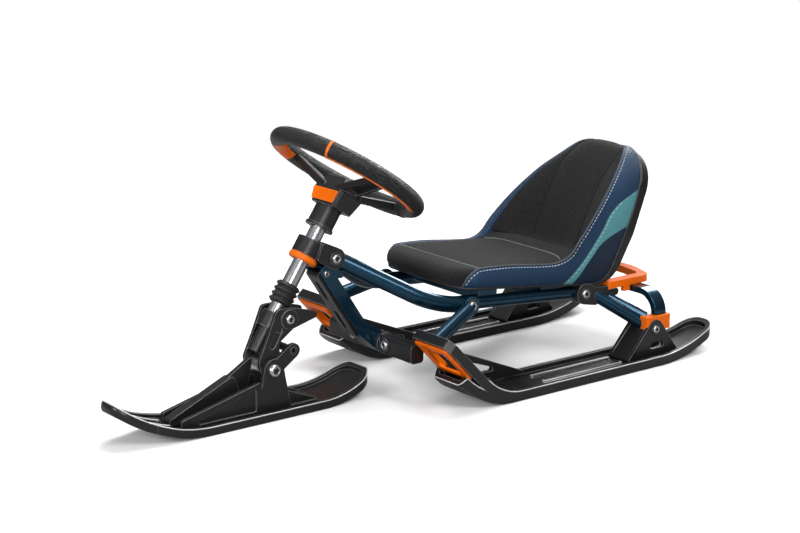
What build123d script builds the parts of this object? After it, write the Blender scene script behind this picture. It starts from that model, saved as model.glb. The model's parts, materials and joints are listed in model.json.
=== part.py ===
"""Steerable sled with a front ski under a wheel column, two rear skis and a bucket seat.

Frame: millimetres, +X forward, +Y to the rider's left, +Z up, ground at Z = 0.
"""

import math
import os

from build123d import *

# Fits and clearances
running_fit = 0.06
slip_fit = 0.15
seat_gap = 0.3
side_play = 1.0

# Steering axis: a point on it, and how far it leans back from the vertical
axis_x = 264.0
axis_z = 188.0
rake = 34.7

# Column and what it carries, as stations along the axis above that point
column_radius = 14.0
column_wall = 2.5
column_foot = -42.0
column_head = 206.0
boot_length = 39.0
boot_radius = 22.5
boot_waist = 18.0
boot_ribs = 4
thrust_ring_foot = 84.0
thrust_ring_height = 11.0
thrust_ring_radius = 26.0
clamp_radius = 25.0
clamp_height = 29.0
hub_sleeve_foot = 149.0
hub_sleeve_radius = 23.5
hub_sleeve_flange = 5.0
hub_foot = 190.0
hub_corner = 5.0
# Hub sections: height over its foot, reach forward, reach back, half width
hub_sections = ((0.0, 20.0, 27.0, 34.0), (28.0, 23.0, 31.0, 41.0), (55.0, 14.0, 22.0, 30.0))
hub_insert_foot = 4.0
hub_insert_height = 22.0
hub_insert_proud = 2.5

# Steering wheel
rim_station = 259.0
rim_radius = 133.5
rim_grip_radius = 15.5
spoke_hub_width = 38.0
spoke_rim_width = 27.0
spoke_thickness = 15.0
spoke_groove_depth = 6.0
spoke_rib = 7.0
spoke_edge = 3.0
spoke_lift = 31.0
spoke_root = 18.0
spoke_channel_root = 45.0
spoke_angles = (82.0, 180.0, 278.0)
inlay_depth = 1.6
inlay_proud = 0.7
inlay_band_angle = 34.0
inlay_band_width = 4.0
# Inlay strips: start and sweep round the wheel, middle and half spread round the grip
inlay_runs = ((34.0, 92.0, 264.0, 24.0), (288.0, 34.0, 228.0, 40.0))

# Fork that joins the column to the front ski
fork_inner = 20.0
fork_plate = 6.0
fork_collar_foot = -46.0
fork_collar_height = 28.0
fork_collar_radius = 20.0
fork_sleeve_foot = -92.0
fork_sleeve_radius = 13.5
fork_bolt_x = 261.0
fork_bolt_z = 166.0
fork_boss_radius = 17.0
fork_boss_proud = 3.0
# Discs that the outlines are drawn round: x, z, radius
fork_shoulder = (280.0, 177.0, 9.0)
fork_foot_radius = 21.0
fork_neck = (296.0, 132.0, 12.0)
fork_toe = (309.0, 98.0, 15.0)
fork_arm_end = (209.0, 166.0, 7.0)
fork_recess = 2.0
fork_recess_head = (281.0, 148.0, 6.0)
fork_recess_foot = (296.0, 124.0, 6.0)

# Front ski pivot and tower
pivot_x = 299.0
pivot_z = 83.0
pivot_bolt_radius = 6.0
bolt_head_radius = 11.0
bolt_head_height = 5.0
pivot_spacer_radius = 19.0
cheek_plate = 7.0
cheek_radius = 20.0
cheek_base = 30.0
horn_radius = 13.0
tow_x = 258.0
tow_z = 111.0
tow_tube_radius = 7.0
tow_bore_radius = 4.0
tower_floor = 5.0
tower_rear_x = 205.0
tower_front_x = 432.0
tower_edge = 4.0
gusset_height = 62.0
gusset_tip = (482.0, 25.0, 4.0)
gusset_recess = 3.0
gusset_margin = 11.0
fin_thickness = 9.0
fin_top = (328.0, 100.0, 4.0)
spine_thickness = 20.0
spine_knee = (371.0, 68.0, 10.0)
spine_foot = (490.0, 22.0, 5.0)
heel_rib_height = 36.0
heel_rib_thickness = 6.0

# Front ski board
front_tip_x = 606.0
front_tail_x = 92.0
front_nose_x = 433.0
front_nose_radius = 286.0
front_heel_x = 200.0
front_heel_radius = 200.0
front_width = 110.0
front_shoulder = 70.0
front_plan_radii = (30.0, 30.0, 120.0, 200.0, 38.0, 38.0, 200.0, 120.0)
front_tip_width = 62.0
front_tail_width = 92.0
front_edge = 15.0
front_floor = 9.0
ski_rim = 9.0
ski_overrun = 2.0
ski_rib = 6.0
ski_rib_height = 3.5
front_rib_y = 15.0
front_rib_rear_x = 500.0
front_rib_front_x = 572.0

# Rear skis
track = 350.0
rear_tail_x = -606.0
rear_toe_x = -78.0
rear_toe_radius = 152.0
rear_toe_angle = 47.0
rear_heel_x = -452.0
rear_heel_radius = 380.0
rear_width = 106.0
rear_tail_width = 66.0
rear_toe_overrun = 4.0
rear_toe_taper = 50.0
rear_toe_share = 0.7
rear_plan_radii = (26.0, 26.0, 40.0, 200.0, 32.0, 32.0, 200.0, 40.0)
plan_height = 200.0
rear_edge = 18.0
rear_floor = 9.0
rear_rib_y = 17.0
rear_rib_rear_x = -370.0
rear_rib_front_x = -180.0

# Foot hoop that rises from each rear ski
hoop_foot_x = -100.0
hoop_slope = 46.0
hoop_radius = 111.0
hoop_length = 121.0
hoop_depth = 18.0
hoop_leg = 15.0
hoop_bar = 13.0
hoop_corner = 16.0
hoop_corner_run = 11.0
hoop_rounding = 6.0
hoop_window_foot = 30.0
insert_band = 9.0
insert_proud = 2.0
insert_depth = 9.0
brace_thickness = 10.0
brace_inset = 4.0
brace_root = 6.0
brace_head = 74.0
brace_foot = (-178.0, 18.0)
brace_window = ((0.0, 76.0), (-125.0, 31.0), (-62.0, 31.0))
brace_rounding = 4.0

# Tubular frame
rail_radius = 15.0
rail_wall = 2.7
rail_bend = 150.0
rail_head = (150.0, 8.0, 254.0)
rail_corner = (0.0, 107.0, 163.0)
rail_joint_x = -88.0
seat_rail_lap = 30.0
rail_end_x = -352.0
rail_drop = 0.084
leg_radius = 13.0
leg_bolt_x = -63.0
leg_lug_radius = 17.0
leg_lug_plate = 7.0
leg_lead = 14.0
leg_drop = 3.0
leg_foot_in = 6.0
leg_foot_at = (52.0, 122.0)
rear_leg_radius = 12.0
rear_stay_radius = 9.0
tube_wall = 2.2

# Head bracket and down strut
head_bolt_x = 163.0
head_bolt_z = 259.0
head_half_width = 30.0
head_boss_radius = 19.0
head_crown = (186.0, 282.0, 8.0)
head_chin = (196.0, 262.0, 6.0)
strut_half_width = 22.0
strut_plate = 4.5
strut_web = 6.0
strut_top = (178.0, 236.0, 12.0)
strut_shoulder = (147.0, 226.0, 6.0)
strut_knee = (100.0, 119.0, 12.0)
strut_foot_radius = 18.0
guard_depth = 12.0
guard_set = 12.0
guard_slot_length = 44.0
guard_slot_width = 11.0
crossbar_x = 56.0
crossbar_z = 88.0
crossbar_height = 34.0
crossbar_depth = 28.0
crossbar_edge = 7.0
crossbar_boss = 19.0
crossbar_cheek = 8.0
crossbar_pin = 8.0

# Seat
seat_front_x = -45.0
seat_front_z = 189.0
seat_slope = 7.5
seat_length = 369.0
seat_half_width = 121.0
seat_front_half_width = 110.0
seat_corner = 42.0
seat_side_radius = 150.0
shell_thickness = 9.0
shell_back = 20.0
shell_bend = 64.0
back_lean = 31.0
back_height = 264.0
back_waist = 105.0
back_top_half_width = 96.0
back_top_radius = 92.0
back_side_radius = 90.0
pad_inset = 3.0
cushion_nose = 33.0
cushion_nose_radius = 22.0
cushion_top_radius = 60.0
cushion_front_height = 36.0
cushion_rear_height = 60.0
cushion_roll = 44.0
wing_reach = 195.0
wing_lip = 4.0
# Points of the backrest's own grid: forward of its rear face, height along it
wing_foot = (142.0, 0.5)
wing_top = (72.0, 214.0)
wing_crown = (50.0, 252.0)
wing_radii = (0.0, 2.0, 70.0, 40.0, 14.0, 0.0)
scoop_floor_half = 60.0
scoop_rim_half = 108.0
# Depth of the scoop's floor and of its rims, at the foot and at the top of the back
scoop_low = (43.0, 144.0)
scoop_high = (79.0, 100.0)
bracket_offsets = (("front", 70.0), ("rear", 222.0))
seat_bracket_length = 44.0
seat_bracket_depth = 24.0
seat_bracket_side = 4.0

# Rear frame fittings
rail_block_radius = 20.0
block_bolt_x = -338.0
block_heel = (-364.0, 126.0, 17.0)
block_tail_run = 20.0
block_tail_radius = 7.0
leg_start_run = 11.0
leg_start_side = 6.0
leg_start_drop = 2.0
leg_foot_side = 2.0
stay_head_side = 16.0
stay_foot_side = 4.0
leg_foot_x = -440.0
leg_foot_z = 71.0
stay_head = (-400.0, 118.0)
stay_foot = (-446.0, 84.0)
rear_bracket_x = -450.0
rear_bracket_z = 64.0
rear_bracket_radius = 18.0
rear_bracket_plate = 6.5
rear_bracket_half_gap = 21.0
rear_bracket_front = 64.0
rear_bracket_rear = 56.0
bracket_window = ((16.0, -37.0), (8.0, -24.0), (-16.0, -24.0), (-26.0, -37.0))
bracket_window_edge = 4.0
bracket_toe_radius = 4.0
handle_z = 134.0
handle_thickness = 14.0
handle_front_x = -396.0
handle_side_x = -503.0
handle_back_x = -524.0
handle_half_width = 128.0
handle_bar = 20.0
handle_radii = (0.0, 0.0, 20.0, 60.0, 60.0, 20.0)
handle_inner_radii = (0.0, 0.0, 12.0, 40.0, 40.0, 12.0)
handle_tab = 10.0
handle_tab_front_x = -436.0
handle_tab_length = 16.0
handle_tab_thickness = 8.0
arch_bend = 44.0
arch_thickness = 12.0
arch_width = 27.0
arch_x = -468.0
arch_root = 13.0
cap_top_z = 88.0
cap_height = 28.0
cap_length = 60.0
cap_x = -460.0
cap_margin = 5.0
cap_corner = 3.0

# Values worked out from the sizes above
ski_y = track / 2
rake_sin = math.sin(math.radians(rake))
rake_cos = math.cos(math.radians(rake))
steer = Plane(origin=(axis_x, 0, axis_z), x_dir=(rake_cos, 0, rake_sin), z_dir=(-rake_sin, 0, rake_cos))
fork_outer = fork_inner + fork_plate
cheek_inner = fork_outer + side_play
cheek_outer = cheek_inner + cheek_plate
clamp_foot = thrust_ring_foot + thrust_ring_height + seat_gap
seat_rail_radius = rail_radius - rail_wall - slip_fit


def save(part, name):
    """Label a finished piece and write its STEP file."""
    part.label = name
    export_step(part, f"parts/{name}.step")


def save_pair(left, name):
    """Write a left-hand piece and its mirror image."""
    save(left, f"{name}_left")
    with BuildPart() as right:
        mirror(left, about=Plane.XZ)
    save(right.part, f"{name}_right")


def side_plane(y):
    """Plane seen from the left at a given Y: local x is X and local y is Z."""
    return Plane(origin=(0, y, 0), x_dir=(1, 0, 0), z_dir=(0, -1, 0))


def outline(plane, corners, radii):
    """Closed outline with a rounding for each corner."""
    with BuildSketch(plane) as face:
        with BuildLine():
            FilletPolyline(*corners, radius=radii, close=True)
        make_face()
    return face.sketch


def inset_outline(plane, corners, radii, inset):
    """Closed outline with rounded corners, drawn in all round."""
    with BuildSketch(plane) as face:
        with BuildLine():
            FilletPolyline(*corners, radius=radii, close=True)
        make_face()
        offset(amount=-inset, mode=Mode.REPLACE)
    return face.sketch


def disc(plane, radius, bore=0.0):
    """Disc, or ring where a bore is given."""
    with BuildSketch(plane) as face:
        Circle(radius)
        if bore > 0:
            Circle(bore, mode=Mode.SUBTRACT)
    return face.sketch


def cross_plane(x, z, y=0.0, side=1):
    """Plane across the sled at a point of its side view, facing left, or right where side is -1."""
    return Plane(origin=(x, y, z), z_dir=(0, side, 0))


def link(plane, *discs):
    """Plate outline drawn tight round a few discs, each given as x, z, radius."""
    with BuildSketch(plane) as face:
        for x, z, radius in discs:
            with Locations((x, z)):
                Circle(radius)
        make_hull()
    return face.sketch


def ski_side(y, nose, heel, low, high):
    """Side outline of a ski between two heights over its sole.

    nose and heel are (x, radius, angle) of the arcs at the two ends of the flat sole.
    """
    nose_x, nose_radius, nose_angle = nose
    heel_x, heel_radius, heel_angle = heel
    with BuildSketch(side_plane(y)) as face:
        with BuildLine():
            nose_low = CenterArc((nose_x, nose_radius), nose_radius - low, -90, nose_angle)
            nose_high = CenterArc((nose_x, nose_radius), nose_radius - high, -90, nose_angle)
            heel_low = CenterArc((heel_x, heel_radius), heel_radius - low, -90, -heel_angle)
            heel_high = CenterArc((heel_x, heel_radius), heel_radius - high, -90, -heel_angle)
            Line(nose_low @ 1, nose_high @ 1)
            Line(heel_low @ 1, heel_high @ 1)
            Line(nose_low @ 0, heel_low @ 0)
            Line(nose_high @ 0, heel_high @ 0)
        make_face()
    return face.sketch


def arc_angle(run, radius):
    """Angle of an arc that starts level and runs a little past a horizontal distance."""
    return math.degrees(math.asin(run / radius)) + ski_overrun


def span_outline(middle_y, rear_x, front_x, width):
    """Rectangle on the ground between two X positions."""
    with BuildSketch(Plane.XY) as face:
        with Locations(((rear_x + front_x) / 2, middle_y)):
            Rectangle(front_x - rear_x, width)
    return face.sketch


def around_axis(angle):
    """Directions across the steering axis at an angle from straight ahead: outward, and along the turn."""
    turn = math.radians(angle)
    outward = steer.x_dir * math.cos(turn) + steer.y_dir * math.sin(turn)
    along = steer.y_dir * math.cos(turn) - steer.x_dir * math.sin(turn)
    return outward, along


def tube(start, end, radius, wall=0.0):
    """Straight tube or bar between two points, added to the part in hand."""
    start = Vector(*start)
    end = Vector(*end)
    section = disc(Plane(origin=start, z_dir=end - start), radius, radius - wall if wall > 0 else 0.0)
    extrude(section, amount=(end - start).length)


def cut_bar(start, end, radius):
    """Socket for a straight bar, taken out of the part in hand."""
    start = Vector(*start)
    end = Vector(*end)
    section = disc(Plane(origin=start, z_dir=end - start), radius)
    extrude(section, amount=(end - start).length, mode=Mode.SUBTRACT)


def seat_point(back, up):
    """Point of the seat pan's own grid: distance back from its front edge, height over its underside."""
    slope = math.radians(seat_slope)
    x = seat_front_x - back * math.cos(slope) - up * math.sin(slope)
    z = seat_front_z - back * math.sin(slope) + up * math.cos(slope)
    return (x, z)


def back_point(forward, up):
    """Point of the backrest's own grid: distance forward of its rear face, height along it."""
    lean = math.radians(back_lean)
    foot_x, foot_z = seat_point(seat_length, 0)
    x = foot_x - up * math.sin(lean) + forward * math.cos(lean)
    z = foot_z + up * math.cos(lean) + forward * math.sin(lean)
    return (x, z)


os.makedirs("parts", exist_ok=True)

# Steering column
with BuildPart() as column:
    column_section = disc(steer.offset(column_foot), column_radius, column_radius - column_wall)
    extrude(column_section, amount=column_head - column_foot)
save(column.part, "column_tube")

# Rubber boot with rolled ribs
with BuildPart() as boot:
    rib_pitch = boot_length / (2 * boot_ribs)
    rib_points = [
        (boot_radius if step % 2 else boot_waist, step * rib_pitch) for step in range(2 * boot_ribs + 1)
    ]
    with BuildSketch(Plane(origin=steer.origin, x_dir=steer.x_dir, z_dir=-steer.y_dir)):
        with BuildLine():
            boot_bore = column_radius + slip_fit
            Polyline((boot_bore, boot_length), (boot_bore, 0), *rib_points, close=True)
        make_face()
    revolve(axis=Axis(steer.origin, steer.z_dir))
save(boot.part, "column_boot")

# Thrust ring that carries the head bracket
with BuildPart() as thrust_ring:
    ring_section = disc(steer.offset(thrust_ring_foot), thrust_ring_radius, column_radius + slip_fit)
    extrude(ring_section, amount=thrust_ring_height)
    outer_edges = thrust_ring.edges().filter_by(GeomType.CIRCLE).group_by(SortBy.RADIUS)[-1]
    chamfer(outer_edges, thrust_ring_height / 5)
save(thrust_ring.part, "thrust_ring")

# Hub sleeve with a flange at its foot
with BuildPart() as hub_sleeve:
    sleeve_plane = steer.offset(hub_sleeve_foot)
    sleeve_bore = column_radius + slip_fit
    extrude(disc(sleeve_plane, hub_sleeve_radius, sleeve_bore), amount=hub_foot - hub_sleeve_foot)
    flange_radius = hub_sleeve_radius + hub_sleeve_flange / 2
    extrude(disc(sleeve_plane, flange_radius, sleeve_bore), amount=hub_sleeve_flange)
save(hub_sleeve.part, "hub_sleeve")

# Steering wheel: inlay of the grip ring, the ring, then the hub with three channelled spokes
rim_plane = steer.offset(rim_station)
rim_axis = Axis(rim_plane.origin, rim_plane.z_dir)


def rim_section(angle):
    """Plane through the wheel's axis at an angle from straight ahead: x outward, y up the axis."""
    outward, along = around_axis(angle)
    return Plane(origin=rim_plane.origin, x_dir=outward, z_dir=-along)


with BuildPart() as rim_inlay:
    inlay_in = rim_grip_radius - inlay_depth
    inlay_out = rim_grip_radius + inlay_proud
    for start, sweep_angle, middle, spread in inlay_runs:
        with BuildSketch(rim_section(start)) as strip:
            with BuildLine():
                strip_in = CenterArc((rim_radius, 0), inlay_in, middle - spread, 2 * spread)
                strip_out = CenterArc((rim_radius, 0), inlay_out, middle - spread, 2 * spread)
                Line(strip_in @ 0, strip_out @ 0)
                Line(strip_in @ 1, strip_out @ 1)
            make_face()
        revolve(strip.sketch, axis=rim_axis, revolution_arc=sweep_angle)
    with BuildSketch(rim_section(inlay_band_angle)) as band:
        with Locations((rim_radius, 0)):
            Circle(inlay_out)
            Circle(inlay_in, mode=Mode.SUBTRACT)
    revolve(band.sketch, axis=rim_axis, revolution_arc=math.degrees(inlay_band_width / rim_radius))
save(rim_inlay.part, "rim_inlay")

with BuildPart() as rim_ring:
    with BuildSketch(rim_section(0)):
        with Locations((rim_radius, 0)):
            Circle(rim_grip_radius)
    revolve(axis=rim_axis)
    add(rim_inlay.part, mode=Mode.SUBTRACT)
save(rim_ring.part, "wheel_rim")

with BuildPart() as rim_envelope:
    with BuildSketch(rim_section(0)):
        with Locations((rim_radius, 0)):
            Circle(inlay_out + slip_fit)
    revolve(axis=rim_axis)


def spoke_section(angle, reach, rib, height, lift):
    """Section of a spoke, or of the channel between its ribs, at a distance from the axis."""
    outward, along = around_axis(angle)
    share = (reach - spoke_root) / (rim_radius - spoke_root)
    spoke_low = hub_foot + spoke_lift
    station = spoke_low + share * (rim_station - spoke_low)
    width = spoke_hub_width + share * (spoke_rim_width - spoke_hub_width)
    centre = steer.origin + outward * reach + steer.z_dir * (station + lift)
    with BuildSketch(Plane(origin=centre, x_dir=along, z_dir=outward)) as section:
        RectangleRounded(width - 2 * rib, height, spoke_edge)
    return section.sketch


def hub_section(lift, front, rear, half_width):
    """Section of the hub across the axis, with its corners cut."""
    with BuildSketch(steer.offset(hub_foot + lift)) as face:
        with Locations(((front - rear) / 2, 0)):
            Rectangle(front + rear, 2 * half_width)
        chamfer(face.vertices(), hub_corner)
    return face.sketch


with BuildPart() as wheel_hub:
    loft([hub_section(*row) for row in hub_sections], ruled=True)
    column_socket = disc(steer.offset(hub_foot), column_radius + slip_fit)
    extrude(column_socket, amount=column_head - hub_foot + seat_gap, mode=Mode.SUBTRACT)
    for angle in spoke_angles:
        loft([spoke_section(angle, reach, 0, spoke_thickness, 0) for reach in (spoke_root, rim_radius)])
    for angle in spoke_angles:
        channel = [
            spoke_section(angle, reach, spoke_rib, 2 * spoke_groove_depth, -spoke_thickness / 2)
            for reach in (spoke_channel_root, rim_radius)
        ]
        loft(channel, mode=Mode.SUBTRACT)
    extrude(column_socket, amount=column_head - hub_foot + seat_gap, mode=Mode.SUBTRACT)
    add(rim_envelope.part, mode=Mode.SUBTRACT)
save(wheel_hub.part, "wheel_hub")

# Coloured insert on the hub's lower front facet
facet_low = hub_sections[0]
facet_high = hub_sections[1]
facet_up = steer.x_dir * (facet_high[1] - facet_low[1]) + steer.z_dir * (facet_high[0] - facet_low[0])
facet_origin = steer.origin + steer.z_dir * hub_foot + steer.x_dir * facet_low[1]
facet = Plane(origin=facet_origin, x_dir=steer.y_dir, z_dir=steer.y_dir.cross(facet_up))
facet_spread = (facet_high[3] - facet_low[3]) / facet_up.length


def insert_half(height):
    """Half width of the insert at a height on the facet."""
    return facet_low[3] + facet_spread * height - hub_corner


with BuildPart() as hub_insert:
    insert_low = hub_insert_foot
    insert_high = hub_insert_foot + hub_insert_height
    insert_corners = (
        (-insert_half(insert_low), insert_low),
        (insert_half(insert_low), insert_low),
        (insert_half(insert_high), insert_high),
        (-insert_half(insert_high), insert_high),
    )
    extrude(outline(facet.offset(slip_fit), insert_corners, [hub_corner / 2] * 4), amount=hub_insert_proud)
save(hub_insert.part, "hub_insert")

# Fork: collar and sleeve on the column, two plates down to the ski pivot, two stop arms
fork_bolt = (fork_bolt_x, fork_bolt_z, fork_boss_radius + fork_boss_proud)
fork_foot = (pivot_x, pivot_z, fork_foot_radius)
with BuildPart() as fork:
    for side in (1, -1):
        plate_plane = side_plane(side * (fork_inner + fork_plate / 2))
        extrude(link(plate_plane, fork_bolt, fork_shoulder, fork_neck), amount=fork_plate / 2, both=True)
        extrude(link(plate_plane, fork_neck, fork_foot, fork_toe), amount=fork_plate / 2, both=True)
        extrude(link(plate_plane, fork_bolt, fork_arm_end), amount=fork_plate / 2, both=True)
        recess = link(side_plane(side * fork_outer), fork_recess_head, fork_recess_foot)
        extrude(recess, amount=fork_recess, both=True, mode=Mode.SUBTRACT)
    extrude(disc(steer.offset(fork_collar_foot), fork_collar_radius), amount=fork_collar_height)
    with BuildSketch(steer.offset(fork_collar_foot)):
        Rectangle(fork_collar_radius, 2 * fork_outer)
    extrude(amount=fork_collar_height)
    sleeve_section = disc(steer.offset(fork_sleeve_foot), fork_sleeve_radius)
    extrude(sleeve_section, amount=fork_collar_foot - fork_sleeve_foot)
    extrude(
        disc(steer.offset(column_foot), column_radius + running_fit),
        amount=fork_collar_foot + fork_collar_height - column_foot,
        mode=Mode.SUBTRACT,
    )
    pivot_hole = disc(cross_plane(pivot_x, pivot_z), pivot_bolt_radius + running_fit)
    extrude(pivot_hole, amount=2 * fork_outer, both=True, mode=Mode.SUBTRACT)
    for side in (1, -1):
        boss_plane = cross_plane(fork_bolt_x, fork_bolt_z, side * fork_outer, side)
        extrude(disc(boss_plane, fork_boss_radius), amount=fork_boss_proud)
save(fork.part, "fork")

# Ski pivot bolt with domed heads, spacer between the fork plates, and the tow tube
with BuildPart() as pivot_bolt:
    extrude(disc(cross_plane(pivot_x, pivot_z), pivot_bolt_radius), amount=cheek_outer + seat_gap, both=True)
    for side in (1, -1):
        head_plane = cross_plane(pivot_x, pivot_z, side * (cheek_outer + seat_gap), side)
        extrude(disc(head_plane, bolt_head_radius), amount=bolt_head_height, taper=20)
save(pivot_bolt.part, "ski_pivot_bolt")

with BuildPart() as pivot_spacer:
    spacer_section = disc(cross_plane(pivot_x, pivot_z), pivot_spacer_radius, pivot_bolt_radius + slip_fit)
    extrude(spacer_section, amount=fork_inner - side_play, both=True)
save(pivot_spacer.part, "ski_pivot_spacer")

with BuildPart() as tow_tube:
    tow_section = disc(cross_plane(tow_x, tow_z), tow_tube_radius, tow_bore_radius)
    extrude(tow_section, amount=cheek_outer + side_play, both=True)
save(tow_tube.part, "tow_tube")

# Front ski: board, raised rim, two long ribs on the deck
front_nose = (front_nose_x, front_nose_radius, arc_angle(front_tip_x - front_nose_x, front_nose_radius))
front_heel = (front_heel_x, front_heel_radius, arc_angle(front_heel_x - front_tail_x, front_heel_radius))
front_half = front_width / 2
front_plan = (
    (front_tip_x, -front_tip_width / 2),
    (front_tip_x, front_tip_width / 2),
    (front_nose_x + front_shoulder, front_half),
    (front_heel_x, front_half),
    (front_tail_x, front_tail_width / 2),
    (front_tail_x, -front_tail_width / 2),
    (front_heel_x, -front_half),
    (front_nose_x + front_shoulder, -front_half),
)

with BuildPart() as front_pocket:
    front_space = ski_side(0, front_nose, front_heel, front_floor, 3 * front_edge)
    extrude(front_space, amount=front_width, both=True)
    front_deck = inset_outline(Plane.XY, front_plan, front_plan_radii, ski_rim)
    extrude(front_deck, amount=plan_height, mode=Mode.INTERSECT)

with BuildPart() as front_ribs:
    for side in (1, -1):
        rib_band = ski_side(side * front_rib_y, front_nose, front_heel, 0, front_floor + ski_rib_height)
        extrude(rib_band, amount=ski_rib / 2, both=True)
    rib_span = span_outline(0, front_rib_rear_x, front_rib_front_x, front_width)
    extrude(rib_span, amount=plan_height, mode=Mode.INTERSECT)

with BuildPart() as front_ski:
    extrude(ski_side(0, front_nose, front_heel, 0, front_edge), amount=front_width, both=True)
    extrude(outline(Plane.XY, front_plan, front_plan_radii), amount=plan_height, mode=Mode.INTERSECT)
    add(front_pocket.part, mode=Mode.SUBTRACT)
    add(front_ribs.part)
save(front_ski.part, "front_ski")

# Tower on the front ski: floor, cheeks with their horns, side gussets, heel ribs, spine and fin
cheek_front = (pivot_x + cheek_base, front_floor + tower_edge, tower_edge)
cheek_rear = (pivot_x - cheek_base, front_floor + tower_edge, tower_edge)
horn = (tow_x, tow_z, horn_radius)
gusset_head = (pivot_x + cheek_base, gusset_height, tower_edge)
gusset_toe = (gusset_tip[0], front_floor + tower_edge, tower_edge)
heel_head = (pivot_x - cheek_base, heel_rib_height, tower_edge)
heel_toe = (tower_rear_x + 2 * tower_edge, front_floor + tower_edge, tower_edge)
with BuildPart() as ski_tower:
    with BuildSketch(Plane.XY.offset(front_floor)):
        with Locations(((tower_rear_x + tower_front_x) / 2, 0)):
            RectangleRounded(tower_front_x - tower_rear_x, 2 * cheek_outer, 2 * tower_edge)
    extrude(amount=tower_floor)
    for side in (1, -1):
        cheek_plane = side_plane(side * (cheek_inner + cheek_plate / 2))
        half_plate = cheek_plate / 2
        pivot_disc = (pivot_x, pivot_z, cheek_radius)
        extrude(link(cheek_plane, pivot_disc, cheek_front, cheek_rear), amount=half_plate, both=True)
        extrude(link(cheek_plane, (pivot_x, pivot_z, horn_radius), horn), amount=half_plate, both=True)
        gusset = link(cheek_plane, gusset_head, gusset_tip, gusset_toe, cheek_front)
        extrude(gusset, amount=half_plate, both=True)
        recess_x = gusset_head[0] + gusset_margin
        recess_corners = (
            (recess_x, front_floor + gusset_margin, tower_edge),
            (recess_x, gusset_height - gusset_margin, tower_edge),
            (gusset_tip[0] - 3 * gusset_margin, front_floor + gusset_margin, tower_edge),
        )
        gusset_face = side_plane(side * cheek_outer)
        extrude(link(gusset_face, *recess_corners), amount=gusset_recess, both=True, mode=Mode.SUBTRACT)
        heel_plane = side_plane(side * cheek_inner)
        extrude(link(heel_plane, heel_head, heel_toe, cheek_rear), amount=heel_rib_thickness / 2, both=True)
    spine_base = (cheek_front[0] + spine_thickness, cheek_front[1], tower_edge)
    extrude(link(side_plane(0), spine_knee, spine_foot, spine_base), amount=spine_thickness / 2, both=True)
    extrude(link(side_plane(0), fin_top, spine_knee, spine_base), amount=fin_thickness / 2, both=True)
    pivot_hole = disc(cross_plane(pivot_x, pivot_z), pivot_bolt_radius + running_fit)
    extrude(pivot_hole, amount=2 * cheek_outer, both=True, mode=Mode.SUBTRACT)
    tow_hole = disc(cross_plane(tow_x, tow_z), tow_tube_radius + slip_fit)
    extrude(tow_hole, amount=2 * cheek_outer, both=True, mode=Mode.SUBTRACT)
    deck_under = ski_side(0, front_nose, front_heel, -front_edge, front_floor + seat_gap)
    extrude(deck_under, amount=front_width, both=True, mode=Mode.SUBTRACT)
save(ski_tower.part, "ski_tower")


def rail_at(x):
    """Point of the left rail's straight stretch at an X position."""
    return (x, rail_corner[1], rail_corner[2] + (x - rail_corner[0]) * rail_drop)


# Rails: a bent front tube each side, mitred at the middle of the head, and a seat rail behind it
rail_end = rail_at(rail_end_x)
seat_rail_start = rail_at(rail_joint_x + seat_rail_lap)
with BuildLine() as rail_path:
    FilletPolyline(rail_head, rail_corner, rail_at(rail_joint_x), radius=rail_bend)
rail_start = Plane(origin=rail_head, z_dir=Vector(*rail_corner) - Vector(*rail_head))

with BuildPart() as rail:
    sweep(disc(rail_start, rail_radius, rail_radius - rail_wall), path=rail_path.line)
    split(bisect_by=Plane.XZ.offset(-slip_fit), keep=Keep.BOTTOM)
save_pair(rail.part, "rail")

with BuildPart() as rail_envelope:
    sweep(disc(rail_start, rail_radius + seat_gap), path=rail_path.line)
    mirror(about=Plane.XZ)

with BuildPart() as seat_rail:
    tube(seat_rail_start, rail_end, seat_rail_radius, tube_wall)
save_pair(seat_rail.part, "seat_rail")

# Head bracket: clamp ring on the column and a block that takes both rails
head_bolt = (head_bolt_x, head_bolt_z, head_boss_radius)
with BuildPart() as head_bracket:
    extrude(link(side_plane(0), head_bolt, head_crown, head_chin), amount=head_half_width, both=True)
    ring_space = disc(steer.offset(clamp_foot - clamp_height), 3 * clamp_radius)
    extrude(ring_space, amount=clamp_height, mode=Mode.SUBTRACT)
    extrude(disc(steer.offset(clamp_foot), clamp_radius), amount=clamp_height)
    column_bore = disc(steer.offset(clamp_foot - clamp_height), column_radius + running_fit)
    extrude(column_bore, amount=3 * clamp_height, mode=Mode.SUBTRACT)
    add(rail_envelope.part, mode=Mode.SUBTRACT)
save(head_bracket.part, "head_bracket")

# Down strut: a channel with a shoulder at its head and an eye at its foot, and the guard in its mouth
strut_run = Vector(strut_top[0] - strut_knee[0], 0, strut_top[1] - strut_knee[1])
strut_along = strut_run.normalized()
strut_front = Vector(strut_along.Z, 0, -strut_along.X)
strut_foot = (crossbar_x, crossbar_z, strut_foot_radius)


def strut_bar(plane, set_forward, radius):
    """Outline of a bar along the strut, set forward of its middle line."""
    ends = []
    for x, z, _ in (strut_top, strut_knee):
        ends.append((x + strut_front.X * set_forward, z + strut_front.Z * set_forward, radius))
    return link(plane, *ends)


with BuildPart() as down_strut:
    extrude(strut_bar(side_plane(0), 0, strut_top[2]), amount=strut_half_width, both=True)
    extrude(link(side_plane(0), strut_top, strut_shoulder), amount=strut_half_width, both=True)
    extrude(link(side_plane(0), strut_knee, strut_foot), amount=strut_half_width, both=True)
    channel = strut_bar(side_plane(0), strut_web, strut_top[2])
    extrude(channel, amount=strut_half_width - strut_plate, both=True, mode=Mode.SUBTRACT)
    strut_eye = disc(cross_plane(crossbar_x, crossbar_z), crossbar_pin + slip_fit)
    extrude(strut_eye, amount=2 * strut_half_width, both=True, mode=Mode.SUBTRACT)
    add(rail_envelope.part, mode=Mode.SUBTRACT)
    add(head_bracket.part, mode=Mode.SUBTRACT)
save(down_strut.part, "down_strut")

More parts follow.
